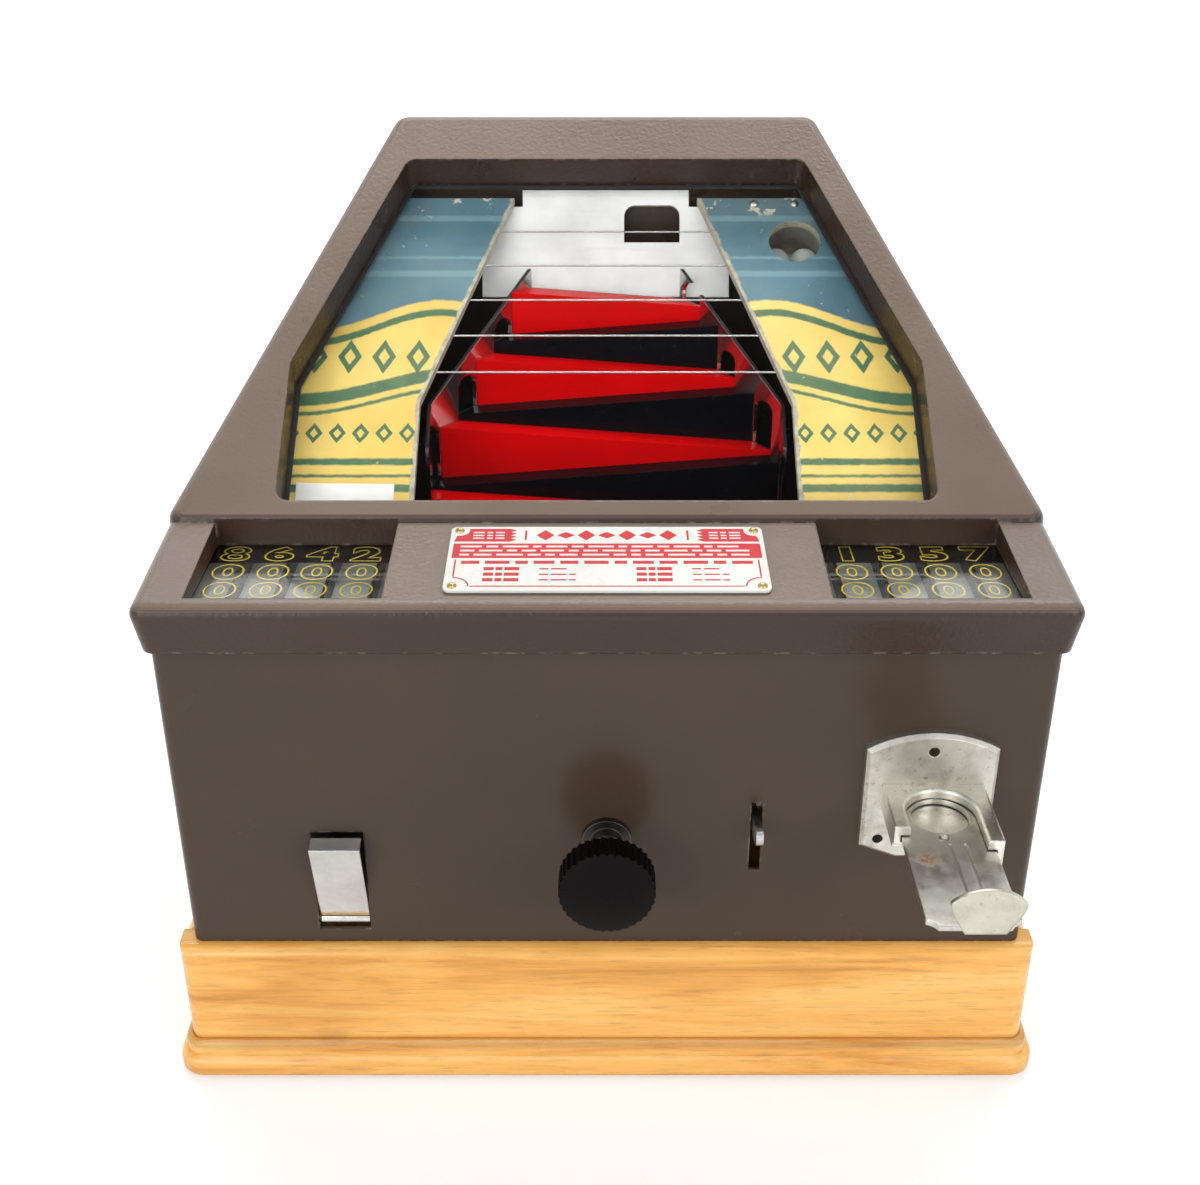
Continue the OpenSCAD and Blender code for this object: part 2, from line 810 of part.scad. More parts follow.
module field_walls() {
    d0 = step_d(1);
    d1 = field_end + step_t;
    color("#8c8d8c")
    difference() {
        intersection() {
            translate([0, 0, base_top]) linear_extrude(2 * shell_h)
                difference() {
                    field_plan(wall_t);
                    field_plan();
                }
            along_x(-body_w / 2, body_w / 2)
                polygon([[fy(d0), step_z(1) - rise], [fy(d1), step_z(levels) - rise],
                    [fy(d1), wall_top(d1)], [fy(d0), wall_top(d0)]]);
        }
        for (n = [1:levels]) exit_slot(n);
    }
}

// Two stringers under the steps and a back plate with the hub that turns on the rocking axis.
stringer_x = 22;
stringer_t = 2;
module stringer(x) {
    drop = step_t + stringer_t * tan(tread_a);
    lower = 14;
    top = [for (n = [1:levels]) each [[fy(step_d(n) + step_t), tread_z(n, x) - drop],
        [fy(step_d(n + 1) + step_t + (n == levels ? 1 : 0)), tread_z(n, x) - drop]]];
    along_x(x - stringer_t / 2, x + stringer_t / 2)
        polygon(concat(top, [[fy(back_plate_d + 1), step_z(levels) - rise - lower],
            [fy(step_d(1) + step_t), step_z(1) - lower]]));
}

module rocker_frame() {
    color("#77787a")
    difference() {
        union() {
            stringer(-stringer_x);
            stringer(stringer_x);
            block(-stringer_x - 6, stringer_x + 6, back_plate_d, back_plate_d + back_plate_t,
                axis_z - shaft_d - 5, step_z(levels) - step_t - 2);
            rod_y(0, back_plate_d - 14, axis_z, 15, shaft_d / 2 + 4);
        }
        rod_y(0, back_plate_d - 15, axis_z, 20, shaft_d / 2);
    }
}

module rocker_shaft() {
    color("#b9bab8")
    rod_y(0, back_plate_d - 13, axis_z, rear_plate_d + bracket_t + 1 - back_plate_d + 13, shaft_d / 2);
}

// Crank on a shaft: hub, arm and a pin that stands out to the back.
module crank(z, r) {
    color("#8a8b8d")
    difference() {
        union() {
            rod_y(0, crank_d, z, crank_t, shaft_d / 2 + 3.5);
            block(0, r, crank_d, crank_d + crank_t, z - pin_r - 1.5, z + pin_r + 1.5);
            rod_y(r, crank_d, z, crank_t, pin_r + 1.5);
            rod_y(r, crank_d + crank_t, z, link_t + 1.2, pin_r);
        }
        rod_y(0, crank_d - 1, z, crank_t + 2, shaft_d / 2);
    }
}

module rocker_crank() {
    crank(axis_z, rocker_r);
}

module knob_crank() {
    crank(knob_axis_z, knob_r);
}

// Drag link from the knob's crank pin up to the rocker's, with its upper eye open by eye_gap.
module drag_link() {
    rise_z = axis_z - knob_axis_z;
    side = rocker_r - knob_r;
    len = sqrt(rise_z * rise_z + side * side);
    eye = pin_r + eye_gap + 2.5;
    color("#9a9b9c")
    along_y(link_d, link_d + link_t)
        translate([knob_r, knob_axis_z]) rotate(-atan2(side, rise_z))
            difference() {
                union() {
                    circle(eye);
                    translate([0, len]) circle(eye);
                    translate([-4, 0]) square([8, len]);
                }
                circle(pin_r + run_gap);
                translate([0, len]) circle(pin_r + eye_gap);
            }
}

// Folded bracket on the bottom panel: two upright plates carry both shafts.
module bearing_bracket() {
    foot_z = foot_h + bottom_t;
    top = axis_z + shaft_d / 2 + 8;
    color("#6f7173")
    difference() {
        union() {
            for (d = [bracket_d, rear_plate_d])
                block(-bracket_half, shaft_d / 2 + 8, d, d + bracket_t, foot_z, top);
            block(-bracket_half - bracket_t, -bracket_half, bracket_d, rear_plate_d + bracket_t, foot_z, top);
            block(-bracket_half - 20, bracket_half, bracket_d, rear_plate_d + bracket_t,
                foot_z, foot_z + bracket_t);
        }
        for (z = [axis_z, knob_axis_z])
            rod_y(0, bracket_d - 1, z, rear_plate_d + bracket_t + 2 - bracket_d, shaft_d / 2 + run_gap);
    }
}

// Fluted knob with a domed face.
module knob() {
    dome = 2.5;
    radius = knob_d / 2;
    ball = (radius * radius + dome * dome) / (2 * dome);
    color("#141414")
    translate([0, fy(-knob_gap), knob_axis_z]) rotate([90, 0, 0])
        difference() {
            intersection() {
                cylinder(r = radius, h = knob_t);
                translate([0, 0, knob_t - ball]) sphere(ball);
            }
            for (i = [1:knob_flutes])
                rotate([0, 0, i * 360 / knob_flutes]) translate([radius + 0.5, 0, -1])
                    cylinder(r = 1.1, h = knob_t + 2, $fn = 16);
            translate([0, 0, -1]) cylinder(r = shaft_d / 2, h = knob_t - 3);
        }
}

module knob_shaft() {
    color("#b9bab8")
    rod_y(0, 4 - knob_gap - knob_t, knob_axis_z,
        rear_plate_d + bracket_t + knob_gap + knob_t - 3, shaft_d / 2);
}

// Threaded bushing with a round flange outside the panel and a nut inside.
module knob_bushing() {
    color("#c3b27a")
    difference() {
        union() {
            rod_y(0, -2.5, knob_axis_z, 2.5, shaft_d / 2 + 5);
            rod_y(0, -7, knob_axis_z, 16, shaft_d / 2 + 2 - run_gap);
            translate([0, fy(sheet), knob_axis_z]) rotate([-90, 0, 0])
                cylinder(r = shaft_d / 2 + 5, h = 4, $fn = 6);
        }
        rod_y(0, -8, knob_axis_z, 18, shaft_d / 2 + run_gap);
    }
}

// Tray that leads each exit forward to its score lane, with a drop hole at each lane's end.
wall_top_h = 7;
module lane_tray(first) {
    exits = [for (i = [0:3]) min(step_d(first + 2 * i) + run + 2, body_d - cast_wall - 4)];
    difference() {
        union() {
            block(tray_in, tray_out, lane_end - 1, shelf_d + 14, tray_z - tray_t, tray_z);
            block(tray_in + 10, tray_out, shelf_d + 14, body_d - cast_wall - 1, tray_z - tray_t, tray_z);
            for (i = [0:4]) {
                x = lane_edge - lane_pitch * (4 - i);
                end = i == 0 ? shelf_d + 14 : exits[i - 1];
                block(x - 0.6, x + 0.6, lane_end, end, tray_z, tray_z + wall_top_h);
                if (i > 0)
                    block(max(tray_in + 10, half_w(end) + 8), x + 0.6, end, end + 1.2,
                        tray_z, tray_z + wall_top_h);
            }
            block(lane_edge - 4 * lane_pitch, lane_edge, lane_end - 1, lane_end, tray_z, tray_z + wall_top_h);
        }
        for (i = [0:3]) rod_z(lane_x(i), drop_d, tray_z - tray_t - 1, tray_t + 2, drop_r);
    }
}

module lane_tray_left() {
    color("#2a2b2d") mirror([1, 0, 0]) lane_tray(2);
}

module lane_tray_right() {
    color("#2a2b2d") lane_tray(1);
}

// Angle rails on the shell's sides carry the trays.
module tray_rails() {
    side = body_w / 2 - sheet;
    front = trough_back + 1;
    back = body_d - cast_wall - 4;
    top = tray_z - tray_t;
    color("#6f7173")
    mirror_pair() {
        block(tray_out - 8, side, front, back, top - rail_t, top);
        block(side - rail_t, side, front, back, top - rail_t - 9, top - rail_t);
    }
}

// Sliding shutter under the lanes, with a post that runs in the coin slide's slanting slot.
module ball_shutter() {
    right = lane_x(3) + drop_r - 1;
    left = -lane_x(3) - drop_r - 1;
    color("#9c9d9b")
    difference() {
        union() {
            block(left, right, trough_front + 1, trough_back - 1, shutter_z, shutter_z + shutter_t);
            block(coin_x - 6, coin_x + 6, trough_back - 1, post_d + 5, shutter_z, shutter_z + shutter_t);
            rod_z(coin_x, post_d, slide_bottom - 1, shutter_z + shutter_t - slide_bottom + 1, post_r);
        }
        for (i = [0:3], s = [-1, 1])
            rod_z(s * lane_x(i) - shutter_travel, drop_d, shutter_z - 1, shutter_t + 2, drop_r);
    }
}

// Trough across the cabinet that falls to the lift, with a spur back to the plunger.
trough_a = 2;
spur_w = ball_d + 4;
module ball_trough() {
    half = body_w / 2 - sheet;
    t = 1.5;
    left_z = lift_floor + (half + lever_x) * tan(trough_a);
    right_z = lift_floor + (half - lever_x) * tan(trough_a);
    color("#7d7f80")
    difference() {
        union() {
            along_y(trough_front, trough_back)
                polygon([[-half, left_z], [lever_x, lift_floor], [half, right_z],
                    [half, right_z - t], [lever_x, lift_floor - t], [-half, left_z - t]]);
            for (d = [trough_front, trough_back - t])
                along_y(d, d + t)
                    polygon([[-half, left_z - t], [lever_x, lift_floor - t], [half, right_z - t],
                        [half, trough_top], [-half, trough_top]]);
            block(lever_x - spur_w / 2 - t, lever_x + spur_w / 2 + t, trough_back - t, tip_d + spur_w / 2,
                lift_floor - t, lift_floor + ball_d);
        }
        block(lever_x - spur_w / 2, lever_x + spur_w / 2, trough_back - t - 1, tip_d + spur_w / 2 - t,
            lift_floor, lift_floor + 2 * ball_d);
        rod_z(lever_x, tip_d, lift_floor - t - 1, t + 2, plunger_r + slide_gap);
    }
}

// Short channel from the top of the lift to the first step.
module start_chute() {
    t = 1.2;
    d0 = tip_d + spur_w / 2;
    d1 = step_d(1) - 3;
    z0 = lift_floor + lift_height - 1;
    color("#7d7f80")
    difference() {
        union() {
            block(lever_x - spur_w / 2 - t, lever_x + spur_w / 2 + t, d0, d1, z0 - t, z0 + ball_d / 2);
            block(lever_x - spur_w / 2, lever_x + spur_w / 2, d0 - t, d0 + t, lift_floor + ball_d, z0);
        }
        block(lever_x - spur_w / 2, lever_x + spur_w / 2, d0 - t - 1, d1 + 1, z0, z0 + ball_d);
    }
}

// A ball resting on the trough's floor, left of the lift.
module trough_ball(x) {
    d = (trough_front + trough_back) / 2;
    z = lift_floor + (lever_x - x) * tan(trough_a) + ball_d / 2 / cos(trough_a) + 0.1;
    translate([x, fy(d), z]) sphere(ball_d / 2);
}

module steel_balls() {
    color("#c9cbcd")
    for (i = [0:3]) trough_ball(lever_x - spur_w / 2 - 2 - (i + 1) * (ball_d + 0.5));
}

module gold_ball() {
    color("#c79a3a")
    trough_ball(lever_x - spur_w / 2 - 2);
}

// Bracket behind the panel that carries the lever's pin and guides the plunger.
cheek_gap = lever_t / 2 + slide_gap;
guide_z = lift_floor - 22;
guide_h = 10;
module lift_bracket() {
    t = 2;
    back = sheet + t;
    color("#6f7173")
    difference() {
        union() {
            block(lever_x - 13, lever_x - slot_w, sheet, back, lever_pivot_z - 22, guide_z + guide_h);
            block(lever_x + slot_w, lever_x + 13, sheet, back, lever_pivot_z - 22, guide_z + guide_h);
            block(lever_x - 13, lever_x + 13, sheet, back, lever_pivot_z + slot_h / 2 + 4, guide_z + guide_h);
            for (x = [lever_x - slot_w - t, lever_x + slot_w])
                block(x, x + t, back, pivot_d + 6, lever_pivot_z - 8, lever_pivot_z + 8);
            block(lever_x - 8, lever_x + 8, back, tip_d + 8, guide_z, guide_z + guide_h);
        }
        rod_x(lever_x - 14, pivot_d, lever_pivot_z, 28, pin_r);
        rod_z(lever_x, tip_d, guide_z - 1, guide_h + 2, plunger_r + run_gap);
    }
}

module lift_pin() {
    reach = slot_w + 3;
    color("#b9bab8")
    rod_x(lever_x - reach, pivot_d, lever_pivot_z, 2 * reach, pin_r);
}

// Flat lever, front end up: a finger tab outside and a round tip under the plunger.
module lift_lever() {
    front = pivot_d + lever_out;
    color("#a8a9a8")
    translate([lever_x - lever_t / 2, fy(pivot_d), lever_pivot_z]) rotate([90, 0, 90])
        linear_extrude(lever_t)
            rotate(-lever_rest)
                difference() {
                    union() {
                        translate([-front / cos(lever_rest), -lever_h / 2])
                            square([front / cos(lever_rest) + lift_r, lever_h * 0.85]);
                        circle(lever_h * 0.8);
                        translate([lift_r, 0]) circle(tip_r);
                        translate([-front / cos(lever_rest), 0]) circle(lever_h / 2);
                    }
                    circle(pin_r + run_gap);
                }
}

collar_z = tip_z + tip_r + 8;
module lift_plunger() {
    foot = tip_z + tip_r + slide_gap;
    color("#b9bab8") {
        rod_z(lever_x, tip_d, foot, lift_floor - foot, plunger_r);
        difference() {
            rod_z(lever_x, tip_d, collar_z - 2, 2, plunger_r + 3);
            rod_z(lever_x, tip_d, collar_z - 3, 4, plunger_r - 0.5);
        }
    }
}

// Round wire swept along a helix, from z0 to z1.
module coil(radius, wire, z0, z1, turns) {
    rings = 10 * turns;
    sides = 6;
    pts = [for (i = [0:rings], j = [0:sides - 1])
        let (a = 360 * turns * i / rings, b = 360 * j / sides, r = radius + wire / 2 * cos(b))
        [r * cos(a), r * sin(a), z0 + (z1 - z0) * i / rings + wire / 2 * sin(b)]];
    side = [for (i = [0:rings - 1], j = [0:sides - 1])
        let (k = (j + 1) % sides, a = i * sides, b = a + sides)
        each [[a + j, b + j, b + k], [a + j, b + k, a + k]]];
    last = rings * sides;
    caps = [for (j = [1:sides - 2]) each [[0, j, j + 1], [last, last + j + 1, last + j]]];
    polyhedron(pts, concat(side, caps));
}

spring_wire = 1;
module lift_spring() {
    color("#c2c3c2")
    translate([lever_x, fy(tip_d), 0])
        coil(plunger_r + 1.4, spring_wire, collar_z + spring_wire / 2 + 0.1,
            guide_z - spring_wire / 2 - 0.1, 8);
}

// Plate outline: arched top, straight sides and a bottom edge that falls to the middle.
module plate_outline(inset) {
    top = coin_top + 20.2;
    sag = 6.5;
    r = (plate_w * plate_w / 4 + sag * sag) / (2 * sag);
    low = coin_top - 27;
    offset(delta = -inset) intersection() {
        translate([plate_x, top - r]) circle(r, $fn = 180);
        polygon([[plate_x - plate_w / 2, low], [plate_x - 10, low - 5], [plate_x + 10, low - 5],
            [plate_x + plate_w / 2, low], [plate_x + plate_w / 2, top], [plate_x - plate_w / 2, top]]);
    }
}

module chute_plate() {
    hole_x = plate_w / 2 - 6.3;
    bevel = 1.4;
    color("#b7b3a8")
    difference() {
        hull() {
            along_y(bevel - plate_t, 0) plate_outline(0);
            along_y(-plate_t, 0) plate_outline(bevel);
        }
        rod_y(plate_x, -plate_t - 1, coin_top + 13.2, plate_t + 2, 1.9);
        for (s = [-1, 1]) rod_y(plate_x + s * hole_x, -plate_t - 1, coin_top - 23.5, plate_t + 2, 1.9);
        block(coin_x - slide_w / 2 - slide_gap, coin_x + slide_w / 2 + slide_gap, -plate_t - 1, 1,
            slide_bottom - slide_gap, slide_top + slide_gap);
    }
}

// Horseshoe block round the slide, with one long arm and one short arm.
module chute_block() {
    half = block_w / 2;
    arch_r = coin_d / 2 + 2.6;
    bevel = 0.8;
    low = slide_bottom - 4;
    color("#bdb9ad")
    difference() {
        union() {
            block(coin_x - half, coin_x, -arm_short, -plate_t, low, coin_top);
            block(coin_x, coin_x + half, -arm_long, -plate_t, low, coin_top);
        }
        rod_z(coin_x, arch_d, slide_top - 1, 20, arch_r);
        block(coin_x - arch_r, coin_x + arch_r, -arm_long - 1, arch_d, slide_top - 1, coin_top + 1);
        translate([coin_x, fy(arch_d), coin_top - bevel])
            cylinder(r1 = arch_r, r2 = arch_r + bevel + 1, h = bevel + 1);
        along_y(-arm_long - 1, arch_d) translate([coin_x, coin_top - bevel])
            polygon([[-arch_r, 0], [arch_r, 0], [arch_r + bevel + 1, bevel + 1],
                [-arch_r - bevel - 1, bevel + 1]]);
        block(coin_x - slide_w / 2 - slide_gap, coin_x + slide_w / 2 + slide_gap, -arm_long - 1, 1,
            slide_bottom - slide_gap, slide_top + slide_gap);
        block(coin_x - half - 1, coin_x - arch_r, -arm_short - 1, 2 - arm_short,
            low - 1, slide_bottom - slide_gap - 1);
    }
}

// Slide with a coin seat, finger hole, guide grooves, scalloped front corners and the slanting slot.
module coin_slide() {
    half = slide_w / 2;
    scallop = 5;
    color("#b4b0a6")
    difference() {
        block(coin_x - half, coin_x + half, -slide_out, tail_d, slide_bottom, slide_top);
        rod_z(coin_x, seat_d, slide_bottom - 1, slide_t + 2, coin_d / 2 + 0.4);
        rod_z(coin_x - 1, seat_d - coin_d / 2 - 2.8, slide_bottom - 1, slide_t + 2, 1.8);
        for (x = [coin_x, coin_x + 5])
            block(x, x + 1, 6 - slide_out, seat_d - coin_d / 2 - 6, slide_top - 0.6, slide_top + 1);
        for (s = [-1, 1])
            rod_z(coin_x + s * (half + 1), -slide_out - 2, slide_bottom - 1, slide_t + 2, scallop);
        cam_slot();
    }
}

// The post's straight path through the slide as the slide goes in.
module cam_slot() {
    r = post_r + slide_gap;
    a = atan2(shutter_travel, slide_travel);
    len = sqrt(shutter_travel * shutter_travel + slide_travel * slide_travel);
    translate([coin_x, fy(post_d), slide_bottom - 1]) rotate([0, 0, a]) {
        translate([-r, -len, 0]) cube([2 * r, len, slide_t + 2]);
        cylinder(r = r, h = slide_t + 2);
        translate([0, -len, 0]) cylinder(r = r, h = slide_t + 2);
    }
}

// Upright thumb plate on the slide's front edge, with a round top.
module thumb_plate() {
    half = 11.7;
    neck = 6.5;
    r = 16;
    thumb_side = 2.8;
    low = slide_bottom;
    high = slide_top + 14.9;
    color("#c6c3ba")
    along_y(-slide_out - thumb_t, -slide_out)
        intersection() {
            translate([coin_x + thumb_side, high - r]) circle(r);
            translate([coin_x + thumb_side, low])
                polygon([[-neck, 0], [neck, 0], [half - 2, 5.2], [half - 0.4, 8.8], [half, 10.6],
                    [half, high - low], [-half, high - low], [-half, 10.6], [0.4 - half, 8.8],
                    [2 - half, 5.2]]);
        }
}

// Bent gum flap on a pin across the opening's foot, leaning out at rest.
module gum_flap() {
    w = flap_w - 2 * slide_gap;
    lip = 6;
    color("#cfd2d4")
    translate([-flap_x - w / 2, fy(flap_pivot_d), flap_pivot_z]) rotate([90, 0, 90])
        linear_extrude(w) rotate(flap_lean)
            difference() {
                union() {
                    translate([-flap_t, 0]) square([flap_t, flap_len]);
                    translate([-flap_t, flap_len - flap_t]) square([lip, flap_t]);
                    circle(pin_r);
                }
                circle(pin_r - 1.2 + run_gap);
            }
}

module gum_flap_pin() {
    color("#b9bab8")
    rod_x(-flap_x - flap_w / 2 - 3, flap_pivot_d, flap_pivot_z, flap_w + 6, pin_r - 1.2);
}

// Sheet chute behind the opening: two cheeks that hold the pin, a falling floor and a back.
module gum_chute() {
    t = 1.5;
    half = flap_w / 2 + slide_gap;
    top = base_top + 6 + flap_h + 4;
    low = base_top + 1;
    back = 46;
    color("#8a8b8d")
    difference() {
        translate([-flap_x, 0, 0]) {
            for (x = [-half - t, half])
                along_x(x, x + t)
                    polygon([[fy(sheet), low], [fy(back), low + 22], [fy(back), top], [fy(sheet), top]]);
            along_x(-half, half)
                polygon([[fy(sheet + 8), low + 5], [fy(back), low + 23],
                    [fy(back), low + 23 + t], [fy(sheet + 8), low + 5 + t]]);
            block(-half, half, back - t, back, low + 23, top);
        }
        rod_x(-flap_x - half - t - 1, flap_pivot_d, flap_pivot_z, 2 * half + 2 * t + 2, pin_r - 1.2);
    }
}

// Open tray on the bottom panel, under the coin slide's inner end.
module cash_box() {
    t = 1.5;
    play = 11;
    left = bracket_half + play;
    right = body_w / 2 + base_over - board_t - play;
    back = body_d + base_over - board_t - play;
    front = back - 100;
    z = foot_h + bottom_t;
    color("#7b7d80")
    difference() {
        block(left, right, front, back, z, base_top + 2);
        block(left + t, right - t, front + t, back - t, z + t, base_top + 3);
    }
}

rubber_feet();
bottom_panel();
front_board();
side_boards();
back_rail();
base_moulding();
cabinet_shell();
rear_panel();
rear_door();
door_hinge_pin();
lock_plug();
top_casting();
window_gasket();
window_glass();
score_glasses();
name_plate();
name_plate_pins();
art_board_left();
art_board_right();
board_screws();
guard_wires();
goal_board();
sight_cup();
gum_balls();
red_steps();
black_steps();
field_walls();
rocker_frame();
rocker_shaft();
rocker_crank();
drag_link();
bearing_bracket();
knob();
knob_shaft();
knob_bushing();
knob_crank();
lane_tray_left();
lane_tray_right();
tray_rails();
ball_shutter();
ball_trough();
start_chute();
steel_balls();
gold_ball();
lift_bracket();
lift_lever();
lift_pin();
lift_plunger();
lift_spring();
chute_plate();
chute_block();
coin_slide();
thumb_plate();
gum_flap();
gum_flap_pin();
gum_chute();
cash_box();
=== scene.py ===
import math

import bmesh
import bpy
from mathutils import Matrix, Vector


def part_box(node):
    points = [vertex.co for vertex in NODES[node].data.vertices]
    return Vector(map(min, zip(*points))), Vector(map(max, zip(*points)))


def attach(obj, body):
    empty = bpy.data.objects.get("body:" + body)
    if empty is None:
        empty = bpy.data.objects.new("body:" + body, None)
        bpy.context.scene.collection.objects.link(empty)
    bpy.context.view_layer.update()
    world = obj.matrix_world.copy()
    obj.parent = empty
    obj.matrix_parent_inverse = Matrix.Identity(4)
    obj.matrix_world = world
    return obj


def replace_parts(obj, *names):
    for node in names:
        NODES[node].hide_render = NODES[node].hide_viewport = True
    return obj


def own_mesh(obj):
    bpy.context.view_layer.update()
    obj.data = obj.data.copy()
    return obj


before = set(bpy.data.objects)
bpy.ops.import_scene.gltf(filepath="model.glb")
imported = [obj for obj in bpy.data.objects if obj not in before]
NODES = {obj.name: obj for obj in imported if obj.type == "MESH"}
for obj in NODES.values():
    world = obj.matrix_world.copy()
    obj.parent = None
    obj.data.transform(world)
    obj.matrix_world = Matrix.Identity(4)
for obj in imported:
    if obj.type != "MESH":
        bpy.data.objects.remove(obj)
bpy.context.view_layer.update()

MM = 0.001

# Places shared with the CAD model, in millimetres: depths are counted back from the front panel.
PANEL_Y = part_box("cabinet_shell")[0][1] / MM
SLOPE = math.radians(35)
WIN_D, WIN_Z = 58.0, 214.5
BOARD_N = -20.5
LIP_TOP, LIP_OVER, SHELF_D, SHELF_RISE = 204.0, 4.3, 52.0, 4.5
SHELF_TILT = math.atan(SHELF_RISE / (SHELF_D + LIP_OVER))
PLATE_W, PLATE_FRONT, PLATE_T = 110.0, 4.0, 1.0
COLUMNS = [86.2, 102.0, 117.4, 133.2]
DECK_Z = 187.0
PANE_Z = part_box("score_glasses")[0][2] / MM


def at(x, d, z):
    """A point in metres from millimetres across, behind the panel and above the table."""
    return Vector((x, PANEL_Y + d, z)) * MM


def on_slope(x, t, n):
    """A point on the window's slope: across, up the slope and out of it."""
    d = WIN_D + t * math.cos(SLOPE) - n * math.sin(SLOPE)
    z = WIN_Z + t * math.sin(SLOPE) + n * math.cos(SLOPE)
    return at(x, d, z)


def on_plate(x, y, n):
    """A point over the name plate: across, back from its front edge and up from its face."""
    y, n = y + PLATE_FRONT, n + PLATE_T
    z = LIP_TOP + SHELF_RISE * LIP_OVER / (SHELF_D + LIP_OVER)
    c, s = math.cos(SHELF_TILT), math.sin(SHELF_TILT)
    return at(x, y * c - n * s, z + y * s + n * c)


def toned(base, factor):
    """A colour made darker or lighter."""
    return [min(1.0, c * factor) for c in base]


# Node helpers

class Tree:
    """A short way to write a material's nodes."""

    def __init__(self, name):
        self.mat = bpy.data.materials.new(name)
        self.mat.use_nodes = True
        self.nt = self.mat.node_tree
        self.bsdf = self.nt.nodes["Principled BSDF"]
        self.coord = self.add("ShaderNodeTexCoord").outputs["Object"]

    def add(self, kind, **props):
        node = self.nt.nodes.new(kind)
        for key, value in props.items():
            setattr(node, key, value)
        return node

    def link(self, a, b):
        self.nt.links.new(a, b)

    def put(self, socket, value):
        """Links another socket to this one, or sets a fixed value on it."""
        if hasattr(value, "links"):
            self.link(value, socket)
        else:
            socket.default_value = value

    def put_colour(self, socket, value):
        """The same for a colour of three numbers."""
        self.put(socket, value if hasattr(value, "links") else (*value, 1.0))

    def set(self, **values):
        """Values or links for the shader's own sockets."""
        for key, value in values.items():
            self.put(self.bsdf.inputs[key.replace("_", " ")], value)

    def colour(self, value):
        self.put_colour(self.bsdf.inputs["Base Color"], value)

    def math(self, op, a, b=0.0):
        node = self.add("ShaderNodeMath", operation=op)
        self.put(node.inputs[0], a)
        self.put(node.inputs[1], b)
        return node.outputs[0]

    def scaled(self, scale, rotation=(0, 0, 0), location=(0, 0, 0)):
        """The object's coordinates after a mapping."""
        node = self.add("ShaderNodeMapping")
        self.link(self.coord, node.inputs["Vector"])
        node.inputs["Scale"].default_value = scale
        node.inputs["Rotation"].default_value = rotation
        node.inputs["Location"].default_value = location
        return node.outputs[0]

    def noise(self, scale, detail=3.0, rough=0.55, vec=None, distortion=0.0):
        node = self.add("ShaderNodeTexNoise")
        self.link(vec if vec is not None else self.coord, node.inputs["Vector"])
        node.inputs["Scale"].default_value = scale
        node.inputs["Detail"].default_value = detail
        node.inputs["Roughness"].default_value = rough
        node.inputs["Distortion"].default_value = distortion
        return node.outputs["Fac"]

    def ramp(self, fac, stops):
        node = self.add("ShaderNodeValToRGB")
        elements = node.color_ramp.elements
        while len(elements) < len(stops):
            elements.new(0.5)
        for element, (pos, col) in zip(elements, stops):
            element.position = pos
            element.color = (*col, 1.0)
        self.link(fac, node.inputs[0])
        return node.outputs[0]

    def step(self, fac, lo, hi, a=0.0, b=1.0):
        """Goes from a to b while the factor goes from lo to hi."""
        node = self.add("ShaderNodeMapRange", clamp=True)
        self.put(node.inputs[0], fac)
        for i, v in enumerate((lo, hi, a, b)):
            node.inputs[i + 1].default_value = v
        return node.outputs[0]

    def mix(self, fac, a, b):
        node = self.add("ShaderNodeMix", data_type="RGBA")
        self.put(node.inputs["Factor"], fac)
        for name, value in (("A", a), ("B", b)):
            socket = next(s for s in node.inputs if s.name == name and s.type == "RGBA")
            self.put_colour(socket, value)
        return next(s for s in node.outputs if s.type == "RGBA")

    def split(self, vec):
        node = self.add("ShaderNodeSeparateXYZ")
        self.link(vec, node.inputs[0])
        return node.outputs

    def facing_up(self):
        """The upward part of the surface's normal."""
        return self.split(self.add("ShaderNodeNewGeometry").outputs["True Normal"])[2]

    def bump(self, height, strength, distance):
        """Adds a bump on top of the normal that the shader already has."""
        node = self.add("ShaderNodeBump")
        node.inputs["Strength"].default_value = strength
        node.inputs["Distance"].default_value = distance
        self.link(height, node.inputs["Height"])
        normal = self.bsdf.inputs["Normal"]
        if normal.links:
            self.link(normal.links[0].from_socket, node.inputs["Normal"])
        self.link(node.outputs[0], normal)

    def edge_wear(self, radius):
        """About 0 on flats and 1 on edges, from the rounded-edge normal."""
        bevel = self.add("ShaderNodeBevel", samples=4)
        bevel.inputs["Radius"].default_value = radius
        geo = self.add("ShaderNodeNewGeometry")
        dot = self.add("ShaderNodeVectorMath", operation="DOT_PRODUCT")
        self.link(bevel.outputs[0], dot.inputs[0])
        self.link(geo.outputs["Normal"], dot.inputs[1])
        return self.step(dot.outputs["Value"], 0.985, 0.90)

    def soft_edges(self, radius):
        """Shades hard CAD edges as if they had a small radius."""
        bevel = self.add("ShaderNodeBevel", samples=6)
        bevel.inputs["Radius"].default_value = radius
        self.link(bevel.outputs[0], self.bsdf.inputs["Normal"])


# Materials

